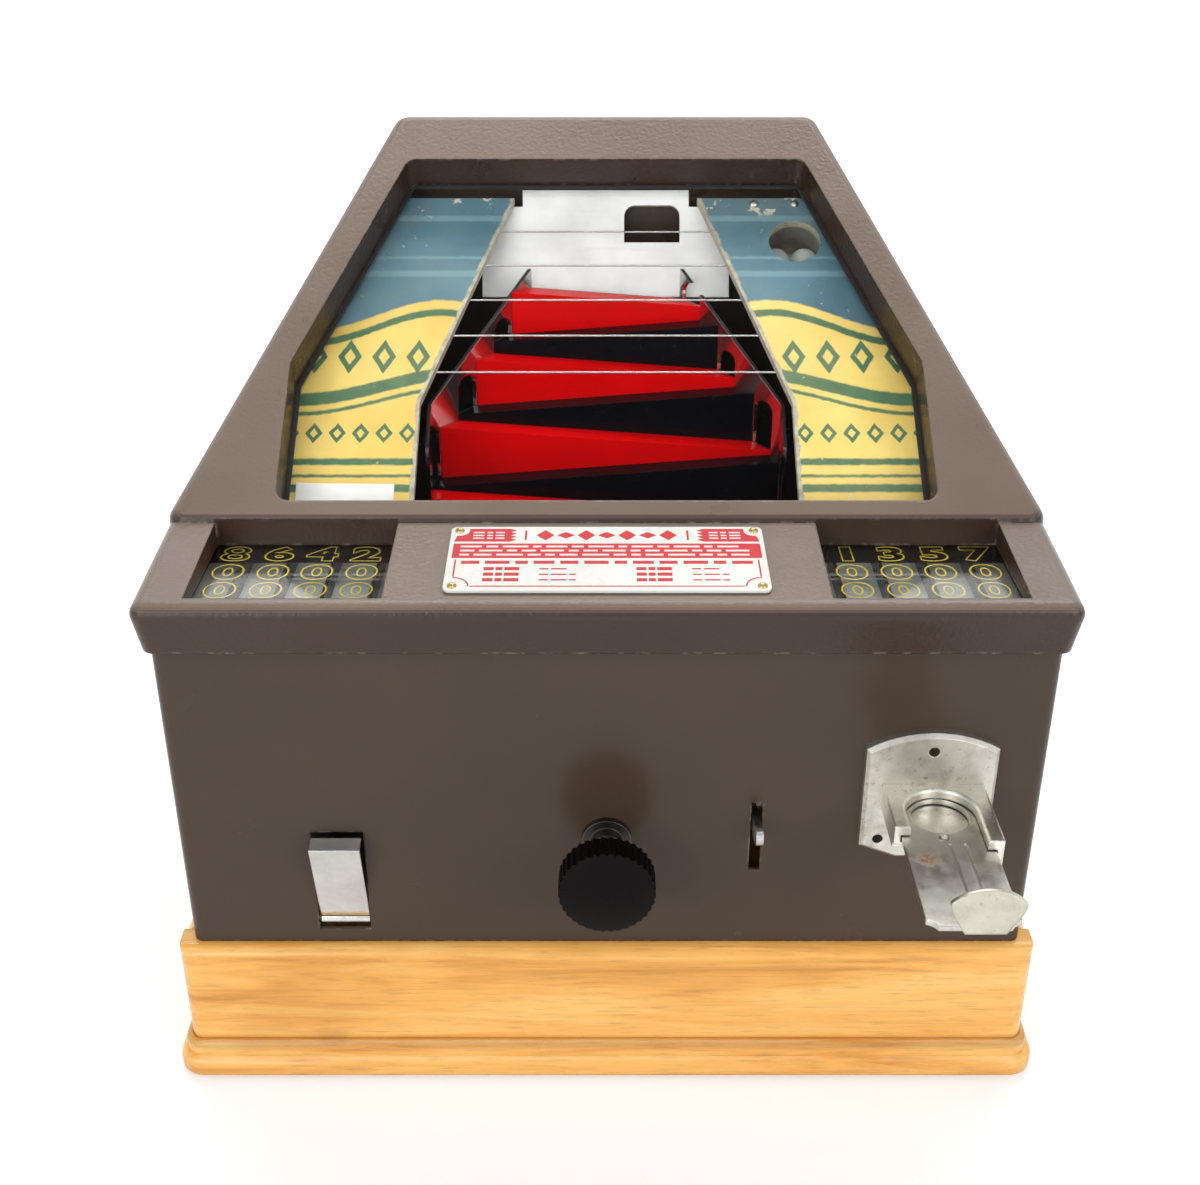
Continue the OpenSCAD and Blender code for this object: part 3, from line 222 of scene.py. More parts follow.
def enamel(name, base, peel, peel_scale, rough):
    """Grained enamel, worn in specks along its edges, with painted light: paler where it faces up,
    as if lit from above.
    """
    lit_top_colour, bare = (0.272, 0.208, 0.168), (0.34, 0.28, 0.23)
    most_swell = 0.11
    t = Tree(name)
    t.soft_edges(0.0012)
    col = t.ramp(t.noise(14.0, 4.0, 0.6), [(0.3, toned(base, 0.86)), (0.7, toned(base, 1.12))])
    # Painted light: faces that turn up are made paler, standing in for the light from above.
    top = t.step(t.facing_up(), 0.40, 0.80, 0.0, 0.85)
    painted_top_light = t.math("MULTIPLY", top, t.step(t.noise(8.0, 3.0), 0.2, 0.7, 0.6, 1.0))
    col = t.mix(painted_top_light, col, lit_top_colour)
    speck = t.step(t.noise(260.0, 2.0), 0.52, 0.66)
    worn = t.math("MULTIPLY", t.math("MULTIPLY", t.edge_wear(0.0018), speck), 0.7)
    t.colour(t.mix(worn, col, bare))
    t.set(Roughness=t.step(t.noise(32.0, 4.0), 0.3, 0.7, rough - 0.05, rough + 0.09))
    t.set(Specular_IOR_Level=0.32, Coat_Weight=0.08, Coat_Roughness=0.28)
    t.bump(t.noise(peel_scale, 2.0, 0.5), peel, 0.0006)
    t.bump(t.noise(60.0, 2.0, 0.5), min(peel * 0.5, most_swell), 0.001)
    return t.mat


def sheet_enamel(name, base):
    """Smooth glossy panel enamel with soft waves and chipped edges."""
    bare = (0.36, 0.30, 0.25)
    t = Tree(name)
    t.soft_edges(0.0008)
    col = t.ramp(t.noise(9.0, 4.0, 0.6), [(0.3, toned(base, 0.9)), (0.7, toned(base, 1.08))])
    wear = t.math("MULTIPLY", t.edge_wear(0.0012), t.step(t.noise(300.0, 2.0), 0.5, 0.62))
    t.colour(t.mix(t.math("MULTIPLY", wear, 0.6), col, bare))
    t.set(Roughness=t.step(t.noise(40.0, 4.0), 0.3, 0.7, 0.20, 0.28), Specular_IOR_Level=0.25)
    t.bump(t.noise(900.0, 2.0, 0.5), 0.03, 0.0004)
    t.bump(t.noise(7.0, 2.0, 0.5), 0.08, 0.004)
    return t.mat


def side_run(t):
    """1 on the side runs of the base moulding and 0 on its front and back runs."""
    low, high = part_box("base_moulding")
    x, y, _ = t.split(t.coord)
    from_side = t.math("SUBTRACT", high[0], t.math("ABSOLUTE", x))
    from_front, from_back = t.math("SUBTRACT", y, low[1]), t.math("SUBTRACT", high[1], y)
    return t.math("LESS_THAN", from_side, t.math("MINIMUM", from_front, from_back))


def varnished_wood(name, along, tint=1.0):
    """Honey-coloured varnished wood, grain along one axis or along each run of a moulding."""
    light, mid = toned((1.0, 0.60, 0.18), tint), toned((0.94, 0.47, 0.105), tint)
    deep, pore = toned((0.62, 0.25, 0.036), tint), toned((0.40, 0.16, 0.035), tint)
    knot_brown, seam_brown = toned((0.24, 0.085, 0.02), tint), toned((0.26, 0.10, 0.025), tint)
    grain_scales = {"x": (1.0, 14.0, 14.0), "y": (14.0, 1.0, 14.0)}
    t = Tree(name)
    t.soft_edges(0.0015)
    if along == "runs":
        vec = t.mix(side_run(t), t.scaled(grain_scales["x"]), t.scaled(grain_scales["y"]))
    else:
        vec = t.scaled(grain_scales[along])
    wave = t.noise(7.0, 6.0, 0.62, vec, 0.7)
    fine = t.noise(70.0, 4.0, 0.6, vec, 0.2)
    col = t.ramp(wave, [(0.28, deep), (0.46, mid), (0.62, light), (0.8, mid)])
    col = t.mix(t.step(fine, 0.54, 0.70, 0.0, 0.35), col, pore)
    moved = t.scaled((1, 1, 1), location=(0.3, 0.1, 0.0))
    blotch = t.step(t.noise(9.0, 4.0, 0.6, moved), 0.56, 0.74, 0.0, 0.5)
    col = t.mix(blotch, col, deep)
    knots = t.add("ShaderNodeTexVoronoi", feature="F1")
    t.link(t.scaled((9.0, 9.0, 22.0)), knots.inputs["Vector"])
    knots.inputs["Scale"].default_value = 1.0
    col = t.mix(t.step(knots.outputs["Distance"], 0.09, 0.04, 0.0, 0.25), col, knot_brown)
    # Darker brown in a band where the boards stand on the moulding.
    z = t.split(t.coord)[2]
    below_top, above_foot = t.step(z, 0.0155, 0.0185, 1.0, 0.0), t.step(z, 0.0125, 0.0165)
    seam = t.math("MULTIPLY", below_top, above_foot)
    t.colour(t.mix(t.math("MULTIPLY", seam, 0.55), col, seam_brown))
    t.set(Roughness=t.step(t.noise(26.0, 3.0), 0.3, 0.7, 0.26, 0.38))
    t.set(Specular_IOR_Level=0.35, Coat_Weight=0.35, Coat_Roughness=0.10)
    t.bump(fine, 0.10, 0.0006)
    t.bump(t.noise(12.0, 2.0), 0.15, 0.002)
    return t.mat


def metal(name, base, rough, worn=0.0, grain=None, spots=0.0, soft=0.0006):
    """Clouded metal, with dirt, a brushed grain and pits where they are asked for."""
    dirt_brown, pit_brown = (0.16, 0.13, 0.09), (0.10, 0.06, 0.03)
    t = Tree(name)
    t.soft_edges(soft)
    col = t.ramp(t.noise(60.0, 5.0, 0.65), [(0.3, toned(base, 0.82)), (0.72, toned(base, 1.08))])
    if worn:
        col = t.mix(t.step(t.noise(110.0, 5.0, 0.7), 0.50, 0.72, 0.0, worn), col, dirt_brown)
    if spots:
        col = t.mix(t.step(t.noise(420.0, 3.0, 0.6), 0.62, 0.72, 0.0, spots), col, pit_brown)
    t.colour(col)
    t.set(Roughness=t.step(t.noise(150.0, 4.0), 0.3, 0.75, *rough), Metallic=1.0)
    if grain:
        t.bump(t.noise(160.0, 3.0, 0.6, t.scaled(grain)), 0.10, 0.0003)
    t.bump(t.noise(350.0, 2.0), 0.04, 0.0004)
    return t.mat


def rusty_nickel(name, spot):
    """Worn nickel with one rust spot and dark, handled patches."""
    base, dirt_brown, rust_brown = (0.66, 0.65, 0.59), (0.20, 0.17, 0.12), (0.30, 0.10, 0.03)
    t = Tree(name)
    t.soft_edges(0.0009)
    col = t.ramp(t.noise(50.0, 5.0, 0.65), [(0.3, toned(base, 0.74)), (0.7, base)])
    col = t.mix(t.step(t.noise(95.0, 6.0, 0.7), 0.50, 0.72, 0.0, 0.5), col, dirt_brown)
    far = t.add("ShaderNodeVectorMath", operation="DISTANCE")
    t.link(t.coord, far.inputs[0])
    far.inputs[1].default_value = spot
    fringe = t.math("MULTIPLY", t.noise(240.0, 5.0, 0.7), 0.006)
    rust = t.step(t.math("ADD", far.outputs["Value"], fringe), 0.0075, 0.0048)
    grainy = t.math("MULTIPLY", rust, t.step(t.noise(700.0, 3.0), 0.35, 0.55))
    t.colour(t.mix(t.math("MULTIPLY", grainy, 0.9), col, rust_brown))
    smooth = t.step(t.noise(160.0, 4.0), 0.3, 0.75, 0.28, 0.44)
    t.set(Metallic=t.math("SUBTRACT", 1.0, t.math("MULTIPLY", grainy, 0.8)),
          Roughness=t.math("ADD", smooth, t.math("MULTIPLY", grainy, 0.4)))
    t.bump(t.noise(180.0, 3.0, 0.6, t.scaled((6.0, 0.5, 6.0))), 0.10, 0.0003)
    t.bump(t.noise(420.0, 2.0), 0.05, 0.0004)
    return t.mat


def wall_metal(name):
    """Polished sheet with blackened upper edges."""
    base, black = (0.80, 0.80, 0.79), (0.020, 0.019, 0.018)
    t = Tree(name)
    t.soft_edges(0.0004)
    col = t.ramp(t.noise(60.0, 5.0, 0.65), [(0.3, toned(base, 0.82)), (0.72, base)])
    edge = t.step(t.facing_up(), 0.45, 0.6)
    t.colour(t.mix(edge, col, black))
    smooth = t.step(t.noise(150.0, 4.0), 0.3, 0.75, 0.06, 0.14)
    t.set(Metallic=t.math("SUBTRACT", 1.0, edge),
          Roughness=t.math("ADD", smooth, t.math("MULTIPLY", edge, 0.3)))
    t.bump(t.noise(25.0, 2.0), 0.05, 0.002)
    return t.mat


def lane_deck(name):
    """Black lanes with a painted reflection: their floor is grey as far back as the zeros."""
    black, dull_grey, light_grey = (0.006, 0.006, 0.007), (0.30, 0.32, 0.31), (0.46, 0.49, 0.48)
    t = Tree(name)
    t.soft_edges(0.0004)
    # Painted reflection: the front of the lane floor is made grey, standing in for a reflection of
    # the bright surroundings.
    flat = t.step(t.facing_up(), 0.7, 0.9)
    axes = t.split(t.coord)
    low = t.step(axes[2], (DECK_Z + 1.5) * MM, (DECK_Z + 0.5) * MM)
    front = t.step(axes[1], at(0, 59.4, 0).y, at(0, 58.8, 0).y)
    floor = t.math("MULTIPLY", t.math("MULTIPLY", flat, low), front)
    grey = t.ramp(t.noise(70.0, 5.0, 0.65), [(0.3, dull_grey), (0.7, light_grey)])
    t.colour(t.mix(floor, black, grey))
    t.set(Roughness=t.step(t.noise(150.0, 4.0), 0.3, 0.75, 0.18, 0.30))
    t.bump(t.noise(160.0, 3.0, 0.6, t.scaled((8.0, 0.6, 8.0))), 0.06, 0.0003)
    return t.mat


def gloss_paint(name, base, lo=0.10, hi=0.20, shine=0.5, coat=0.5):
    """Smooth paint with a little dust, its roughness between two values."""
    t = Tree(name)
    t.soft_edges(0.0005)
    col = t.ramp(t.noise(25.0, 4.0), [(0.3, toned(base, 0.85)), (0.7, base)])
    dust = t.step(t.noise(300.0, 4.0, 0.7), 0.62, 0.78, 0.0, 0.25)
    t.colour(t.mix(dust, col, [c * 0.75 + 0.008 for c in base]))
    t.set(Roughness=t.step(t.noise(70.0, 4.0), 0.3, 0.7, lo, hi))
    t.set(Specular_IOR_Level=shine, Coat_Weight=coat, Coat_Roughness=0.06)
    t.bump(t.noise(120.0, 2.0), 0.04, 0.0006)
    return t.mat


def plain(name, base, rough, bump=0.06, scale=500.0, shine=0.5):
    """A dull material with a fine grain."""
    t = Tree(name)
    t.soft_edges(0.0005)
    t.colour(t.ramp(t.noise(40.0, 4.0), [(0.3, toned(base, 0.82)), (0.7, toned(base, 1.1))]))
    t.set(Roughness=t.step(t.noise(90.0, 3.0), 0.3, 0.7, rough - 0.06, rough + 0.06))
    t.set(Specular_IOR_Level=shine)
    t.bump(t.noise(scale, 3.0), bump, 0.0005)
    return t.mat


def clear_glass(name):
    """Clear glass with faint smears."""
    t = Tree(name)
    t.set(Roughness=0.01, IOR=1.5, Transmission_Weight=1.0)
    smear = t.noise(35.0, 5.0, 0.65)
    t.colour(t.ramp(smear, [(0.3, (0.95, 0.97, 0.965)), (0.7, (0.99, 1.0, 0.995))]))
    t.bump(t.noise(6.0, 2.0), 0.02, 0.001)
    return t.mat


def printed_board(name, side):
    """Own pattern in teal, ochre and green: bands, a rolling edge and rows of lozenges."""
    paler, flaked, chipped = (0.190, 0.330, 0.380), (0.62, 0.57, 0.44), (0.70, 0.66, 0.52)
    yellowed = (0.52, 0.43, 0.24)
    t = Tree(name)
    origin = at(0, WIN_D, WIN_Z)
    c, s = math.cos(SLOPE), math.sin(SLOPE)
    shift = (0, -(origin.y * c + origin.z * s), -(-origin.y * s + origin.z * c))
    axes = t.split(t.scaled((1, 1, 1), rotation=(-SLOPE, 0, 0), location=shift))
    x = t.math("MULTIPLY", axes[0], side)
    up = axes[1]
    ragged = t.math("MULTIPLY", t.math("SUBTRACT", t.noise(420.0, 3.0), 0.5), 0.0012)
    y = t.math("ADD", up, ragged)

    def wave(freq, phase, amp):
        angle = t.math("ADD", t.math("MULTIPLY", x, freq), phase)
        return t.math("MULTIPLY", t.math("SINE", angle), amp)

    def between(v, lo, hi, soft=0.0004):
        return t.math("MULTIPLY", t.step(v, lo - soft, lo + soft), t.step(v, hi + soft, hi - soft))

    def clouded(scale, detail, rough, dark_at, dark, light):
        return t.ramp(t.noise(scale, detail, rough), [(dark_at, dark), (0.7, light)])

    teal = clouded(18.0, 5.0, 0.6, 0.3, (0.060, 0.138, 0.178), (0.112, 0.235, 0.290))
    ochre = clouded(24.0, 5.0, 0.6, 0.28, (0.70, 0.45, 0.090), (0.86, 0.66, 0.185))
    green = clouded(120.0, 4.0, 0.7, 0.3, (0.045, 0.125, 0.060), (0.085, 0.185, 0.085))

    # Upper field: level bands on teal.
    col = teal
    for lo, hi in ((0.1175, 0.1205), (0.1265, 0.1280), (0.1465, 0.1495)):
        col = t.mix(t.math("MULTIPLY", between(y, lo, hi), 0.75), col, paler)
    # Rolling edge between the two fields.
    edge = t.math("ADD", y, wave(62.0, 0.6, 0.0075))
    col = t.mix(t.step(edge, 0.0985, 0.0975), col, ochre)
    col = t.mix(between(edge, 0.0900, 0.0935), col, green)
    # Long low swells lower down.
    swell = t.math("ADD", y, wave(48.0, 2.1, 0.0065))
    for lo, hi in ((0.0605, 0.0665), (0.0560, 0.0578)):
        col = t.mix(between(swell, lo, hi), col, green)
    # A row of upright lozenges and a row of small ones.
    rows = ((0.0135, 0.0775, 0.0048, 0.0082), (0.0090, 0.0415, 0.0034, 0.0046))
    for pitch, mid, half_x, half_y in rows:
        across = t.math("SUBTRACT", t.math("MODULO", x, pitch), pitch / 2)
        dx = t.math("DIVIDE", t.math("ABSOLUTE", across), half_x)
        dy = t.math("DIVIDE", t.math("ABSOLUTE", t.math("SUBTRACT", y, mid)), half_y)
        far = t.math("ADD", dx, dy)
        col = t.mix(t.step(far, 1.03, 0.97), col, green)
        col = t.mix(t.step(far, 0.50, 0.44), col, ochre)
    # Broad stripes at the foot.
    for lo, hi in ((0.0270, 0.0300), (0.0215, 0.0228), (0.0150, 0.0185)):
        col = t.mix(between(y, lo, hi), col, green)
    # Age: flaked specks, larger chips near the top and a soft yellowing.
    col = t.mix(t.step(t.noise(260.0, 5.0, 0.7), 0.66, 0.70, 0.0, 0.85), col, flaked)
    near_top = t.step(up, 0.1475, 0.1525)
    chip = t.math("MULTIPLY", t.step(t.noise(105.0, 4.0, 0.6), 0.60, 0.62), near_top)
    col = t.mix(t.math("MULTIPLY", chip, 0.9), col, chipped)
    col = t.mix(t.step(t.noise(13.0, 4.0), 0.5, 0.8, 0.0, 0.22), col, yellowed)
    # A bare ragged strip along the inner edge, which leans to the middle above a bend.
    bend, foot_x, lean = 0.056, 0.0725, 0.0355 / 0.107
    above = t.math("MAXIMUM", t.math("SUBTRACT", up, bend), 0.0)
    inner = t.math("SUBTRACT", foot_x, t.math("MULTIPLY", above, lean))
    torn = t.math("MULTIPLY", t.math("SUBTRACT", t.noise(130.0, 4.0, 0.7), 0.5), 0.0045)
    strip = t.step(t.math("ADD", t.math("SUBTRACT", x, inner), torn), 0.0017, 0.0012)
    raw = t.ramp(t.noise(300.0, 4.0), [(0.3, (0.30, 0.27, 0.19)), (0.65, (0.52, 0.49, 0.39))])
    col = t.mix(strip, col, raw)
    # The cut edges are bare board.
    geo = t.add("ShaderNodeNewGeometry")
    dot = t.add("ShaderNodeVectorMath", operation="DOT_PRODUCT")
    t.link(geo.outputs["True Normal"], dot.inputs[0])
    dot.inputs[1].default_value = (0, -s, c)
    t.colour(t.mix(t.step(dot.outputs["Value"], 0.7, 0.9), raw, col))
    t.set(Roughness=t.step(t.noise(90.0, 3.0), 0.3, 0.7, 0.42, 0.58))
    t.bump(t.noise(600.0, 3.0), 0.06, 0.0004)
    return t.mat


FINE_GRAIN, BROAD_GRAIN, ROUND_EDGE = (8.0, 8.0, 0.6), (5.0, 5.0, 0.7), 0.0010
RUST_SPOT = at(105.5, -42, 130)

MATS = {
    "casting": enamel("casting_enamel", (0.042, 0.022, 0.013), 0.34, 620.0, 0.30),
    "sheet": sheet_enamel("sheet_enamel", (0.064, 0.042, 0.028)),
    "rear": enamel("rear_enamel", (0.060, 0.039, 0.028), 0.05, 900.0, 0.42),
    "wood_x": varnished_wood("varnished_wood_x", "x"),
    "wood_y": varnished_wood("varnished_wood_y", "y", 0.95),
    "wood_runs": varnished_wood("varnished_wood_runs", "runs"),
    "ply": varnished_wood("raw_plywood", "x", 0.75),
    "rubber": plain("black_rubber", (0.022, 0.022, 0.022), 0.7, 0.12),
    "steel": metal("plain_steel", (0.56, 0.56, 0.55), (0.26, 0.42), 0.25, FINE_GRAIN),
    "dark_steel": metal("dark_steel", (0.34, 0.34, 0.34), (0.34, 0.5), 0.4, FINE_GRAIN),
    "wire": metal("wire_steel", (0.80, 0.81, 0.80), (0.14, 0.24), 0.05),
    "nickel": metal("worn_nickel", (0.82, 0.80, 0.73), (0.26, 0.42), 0.35, BROAD_GRAIN, 0.4,
                    ROUND_EDGE),
    "satin": metal("satin_nickel", (0.62, 0.60, 0.54), (0.36, 0.52), 0.4, BROAD_GRAIN, 0.5),
    "pale_nickel": metal("pale_nickel", (0.58, 0.56, 0.47), (0.30, 0.46), 0.25, BROAD_GRAIN, 0.3,
                         ROUND_EDGE),
    "slide": rusty_nickel("slide_nickel", RUST_SPOT),
    "oxide": metal("black_oxide", (0.10, 0.09, 0.085), (0.34, 0.5), 0.3),
    "ink_red": gloss_paint("red_ink", (0.66, 0.020, 0.030), 0.3, 0.42, 0.3, 0.1),
    "ink_white": gloss_paint("white_ink", (0.84, 0.82, 0.78), 0.3, 0.42),
    "ink_yellow": gloss_paint("yellow_ink", (0.82, 0.64, 0.04), 0.3, 0.42, 0.3, 0.1),
    "card": plain("white_card", (0.86, 0.85, 0.82), 0.6, 0.05, 700.0),
    "chrome": metal("bright_chrome", (0.62, 0.64, 0.63), (0.05, 0.12), 0.10),
    "brass": metal("dull_brass", (0.66, 0.50, 0.21), (0.22, 0.38), 0.35),
    "gold": metal("gold_ball_finish", (0.80, 0.58, 0.20), (0.12, 0.2), 0.1),
    "glass": clear_glass("clear_glass"),
    "plate": gloss_paint("white_enamel", (0.86, 0.85, 0.80), 0.22, 0.34),
    "board_left": printed_board("board_print_left", -1.0),
    "board_right": printed_board("board_print_right", 1.0),
    "white": plain("goal_white", (0.86, 0.86, 0.85), 0.42, 0.04),
    "red": gloss_paint("red_gloss", (0.70, 0.001, 0.002), 0.12, 0.22, 0.09, 0.02),
    "black": gloss_paint("black_gloss", (0.0025, 0.0025, 0.0042), 0.12, 0.22, 0.10, 0.02),
    "deck": lane_deck("lane_deck"),
    "knob": plain("knob_plastic", (0.0040, 0.0024, 0.0028), 0.30, 0.05, 400.0, 0.07),
    "polished": wall_metal("wall_metal"),
    "gum": gloss_paint("gum_shell", (0.60, 0.64, 0.60), 0.25, 0.4),
}

USES = {
    "casting": ["top_casting"],
    "sheet": ["cabinet_shell"],
    "rear": ["rear_panel", "rear_door"],
    "wood_x": ["front_board", "back_rail"],
    "wood_runs": ["base_moulding"],
    "wood_y": ["side_boards"],
    "ply": ["bottom_panel"],
    "rubber": ["rubber_feet", "window_gasket"],
    "steel": ["door_hinge_pin", "knob_shaft", "rocker_shaft", "lift_pin", "lift_plunger",
              "lift_spring", "gum_flap_pin", "steel_balls", "lift_lever", "ball_shutter"],
    "dark_steel": ["bearing_bracket", "rocker_frame", "rocker_crank", "knob_crank", "drag_link",
                   "tray_rails", "ball_trough", "start_chute", "lift_bracket", "gum_chute",
                   "cash_box"],
    "wire": ["guard_wires"],
    "nickel": ["chute_block", "lock_plug", "board_screws"],
    "pale_nickel": ["thumb_plate"],
    "satin": ["chute_plate", "sight_cup"],
    "oxide": ["knob_bushing"],
    "slide": ["coin_slide"],
    "chrome": ["gum_flap"],
    "brass": ["name_plate_pins"],
    "gold": ["gold_ball"],
    "glass": ["window_glass", "score_glasses"],
    "plate": ["name_plate"],
    "board_left": ["art_board_left"],
    "board_right": ["art_board_right"],
    "white": ["goal_board"],
    "red": ["red_steps"],
    "black": ["black_steps"],
    "deck": ["lane_tray_left", "lane_tray_right"],
    "knob": ["knob"],
    "polished": ["field_walls"],
    "gum": ["gum_balls"],
}
for key, names in USES.items():
    for name in names:
        obj = NODES[name]
        obj.data.materials.clear()
        obj.data.materials.append(MATS[key])
        for slot in obj.material_slots:
            slot.material = MATS[key]

# Light from the lamps passes the panes.
for name in USES["glass"]:
    NODES[name].visible_shadow = False


# Thin print and small added pieces

def add_piece(name, mesh, mat):
    """A new piece of one material that rides on the cabinet."""
    mesh.materials.clear()
    mesh.materials.append(MATS[mat])
    obj = bpy.data.objects.new(name, mesh)
    bpy.context.scene.collection.objects.link(obj)
    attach(obj, "cabinet")
    return obj


def return_spring():
    """A fixed coil round the lift plunger, in place of the lift spring's part and as long as it."""
    low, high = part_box("lift_spring")
    x, y = (low[0] + high[0]) / 2, (low[1] + high[1]) / 2
    wire, turns, steps, sides = 0.0005, 8, 24, 10
    radius, rise = (high[0] - low[0]) / 2 - wire, high[2] - low[2] - 2 * wire
    last = turns * steps
    verts, faces = [], []
    for i in range(last + 1):
        a = 2 * math.pi * i / steps
        for j in range(sides):
            b = 2 * math.pi * j / sides
            r = radius + wire * math.cos(b)
            z = low[2] + wire + rise * i / last + wire * math.sin(b)
            verts.append((x + r * math.cos(a), y + r * math.sin(a), z))
    for i in range(last):
        here, there = i * sides, (i + 1) * sides
        for j in range(sides):
            k = (j + 1) % sides
            faces.append([here + j, there + j, there + k, here + k])
    faces += [list(range(sides)), [last * sides + sides - 1 - j for j in range(sides)]]
    mesh = bpy.data.meshes.new("return_coil")
    mesh.from_pydata(verts, [], faces)
    mesh.polygons.foreach_set("use_smooth", [True] * len(mesh.polygons))
    coil = add_piece("return_coil", mesh, "steel")
    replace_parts(coil, "lift_spring")
    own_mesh(coil)


def right_screws():
    """The pair of screws at the top of the right board."""
    node = NODES["board_screws"]
    mesh = node.data.copy()
    mesh.transform(node.matrix_world)
    bm = bmesh.new()
    bm.from_mesh(mesh)
    bmesh.ops.delete(bm, geom=[v for v in bm.verts if v.co.x < 0], context="VERTS")
    bm.to_mesh(mesh)
    bm.free()
    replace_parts(add_piece("right_screws", mesh, "nickel"), "board_screws")


def bar(x0, x1, y0, y1):
    return [(x0, y0), (x1, y0), (x1, y1), (x0, y1)]


def lozenge(x, y, w, h):
    return [(x - w, y), (x, y - h), (x + w, y), (x, y + h)]


def arc(x, y, r, a0, a1, steps=10):
    turn = [math.radians(a0 + (a1 - a0) * i / steps) for i in range(steps + 1)]
    return [(x + r * math.cos(a), y + r * math.sin(a)) for a in turn]


def dashes(x0, x1, y, tall, lengths, gap):
    """A row of short bars that fills a width, their lengths taken in turn."""
    row, x, i = [], x0, 0
    while x + lengths[i % len(lengths)] <= x1:
        length = lengths[i % len(lengths)]
        row.append(bar(x, x + length, y, y + tall))
        x += length + gap
        i += 1
    return row


def mirrored(outline, s):
    """An outline on the right side (1) or the left (-1), turning the same way on both."""
    return [(s * x, y) for x, y in outline][::s]


def thin_print(name, outlines, place, low, high, mat):
    """Outlines on a surface, each drawn out between two heights in millimetres."""
    verts, faces = [], []
    for pts in outlines:
        k, n = len(verts), len(pts)
        verts += [place(x, y, low) for x, y in pts] + [place(x, y, high) for x, y in pts]
        faces.append([k + n + i for i in range(n)])
        faces.append([k + n - 1 - i for i in range(n)])
        for i in range(n):
            j = (i + 1) % n
            faces.append([k + i, k + j, k + n + j, k + n + i])
    mesh = bpy.data.meshes.new(name)
    mesh.from_pydata(verts, [], faces)
    add_piece(name, mesh, mat)


def plate_print():
    """Plain bands, rules and lozenges in red on the name plate, with white dashes on them."""
    half = PLATE_W / 2
    red, white = [], []
    # Ribbons with a notched end in the back corners.
    ribbon = [(half - 1.5, 32.5)] + arc(half - 3, 40, 3.6, -80, -190) + [(half - 6.6, 41.3)]
    ribbon += [(half - 21 - 2.2 * (i % 2), 41.3 - 1.1 * i) for i in range(9)]
    for s in (-1, 1):
        red.append(mirrored(ribbon, s))
        for y in (34.2, 36.2, 38.2):
            row = dashes(half - 19, half - 7.5, y, 0.9, (3.2, 2.1, 4.0), 0.9)
            white += [mirrored(dash, s) for dash in row]
    # Lozenges between two short rules.
    red += [lozenge(x * 7.2, 36.9, 3.1, 3.5 if x % 2 else 2.2) for x in range(-3, 4)]
    red += [bar(x - 0.35, x + 0.35, 33.6, 40.2) for x in (-28.5, 28.5)]
    # A broad band with three rows of white dashes.
    red.append(bar(1.5 - half, half - 1.5, 21.3, 31.0))
    for y, lengths in ((28.3, (7.5, 4.2, 9.0, 3.1)), (25.5, (5.1, 8.2, 3.6)),
                       (22.7, (3.4, 6.3, 9.4, 4.6))):
        white += dashes(4 - half, half - 4, y, 1.2, lengths, 1.5)
    # Rows of red dashes in front of it.
    red += dashes(5 - half, half - 5, 17.4, 1.9, (6.2, 8.4, 4.3, 7.1), 2.0)
    for y in (13.2, 9.6, 6.0):
        for x in (-42.0, 10.0):
            red += dashes(x, x + 15, y, 1.9, (3.4, 2.3, 5.0), 0.7)
            red += dashes(x + 19, x + 35 - y / 3, y + 0.5, 0.7, (3.0, 5.2, 2.2), 1.0)
    # A thin line round the front, curled at the corners.
    red.append(bar(9 - half, half - 9, 2.6, 3.1))
    edge = bar(half - 3.2, half - 2.7, 9, 20)
    curl = arc(half - 3, 3, 5.6, 88, 182) + arc(half - 3, 3, 5.1, 182, 88)
    for s in (-1, 1):
        red += [mirrored(edge, s), mirrored(curl, s)]
    thin_print("plate_print_red", red, on_plate, -0.02, 0.08, "ink_red")
    thin_print("plate_print_white", white, on_plate, 0.0, 0.13, "ink_white")


def mesh_of(data):
    """The mesh that a text or a curve makes."""
    obj = bpy.data.objects.new(data.name, data)
    bpy.context.scene.collection.objects.link(obj)
    bpy.context.view_layer.update()
    depsgraph = bpy.context.evaluated_depsgraph_get()
    mesh = bpy.data.meshes.new_from_object(obj.evaluated_get(depsgraph))
    bpy.data.objects.remove(obj)
    return mesh


def glyph_loops(char):
    """The closed outlines of a bold numeral, one unit high."""
    data = bpy.data.curves.new("glyph", "FONT")
    data.body = char
    data.offset = 0.01 if char == "8" else 0.045
    data.resolution_u = 8
    mesh = mesh_of(data)
    bm = bmesh.new()
    bm.from_mesh(mesh)
    bmesh.ops.remove_doubles(bm, verts=bm.verts, dist=1e-4)
    rim = {v: [e.other_vert(v) for e in v.link_edges if e.is_boundary] for v in bm.verts}
    loops, used = [], set()
    for start in bm.verts:
        if start in used or not rim[start]:
            continue
        loop, here = [], start
        while here is not None:
            used.add(here)
            loop.append((here.co.x, here.co.y))
            here = next((v for v in rim[here] if v not in used), None)
        loops.append(loop)
    bm.free()
    bpy.data.meshes.remove(mesh)
    xs = [x for loop in loops for x, _ in loop]
    ys = [y for loop in loops for _, y in loop]
    tall = max(ys) - min(ys)
    mid_x, mid_y = (max(xs) + min(xs)) / 2, (max(ys) + min(ys)) / 2
    return [[((x - mid_x) / tall, (y - mid_y) / tall) for x, y in loop] for loop in loops]


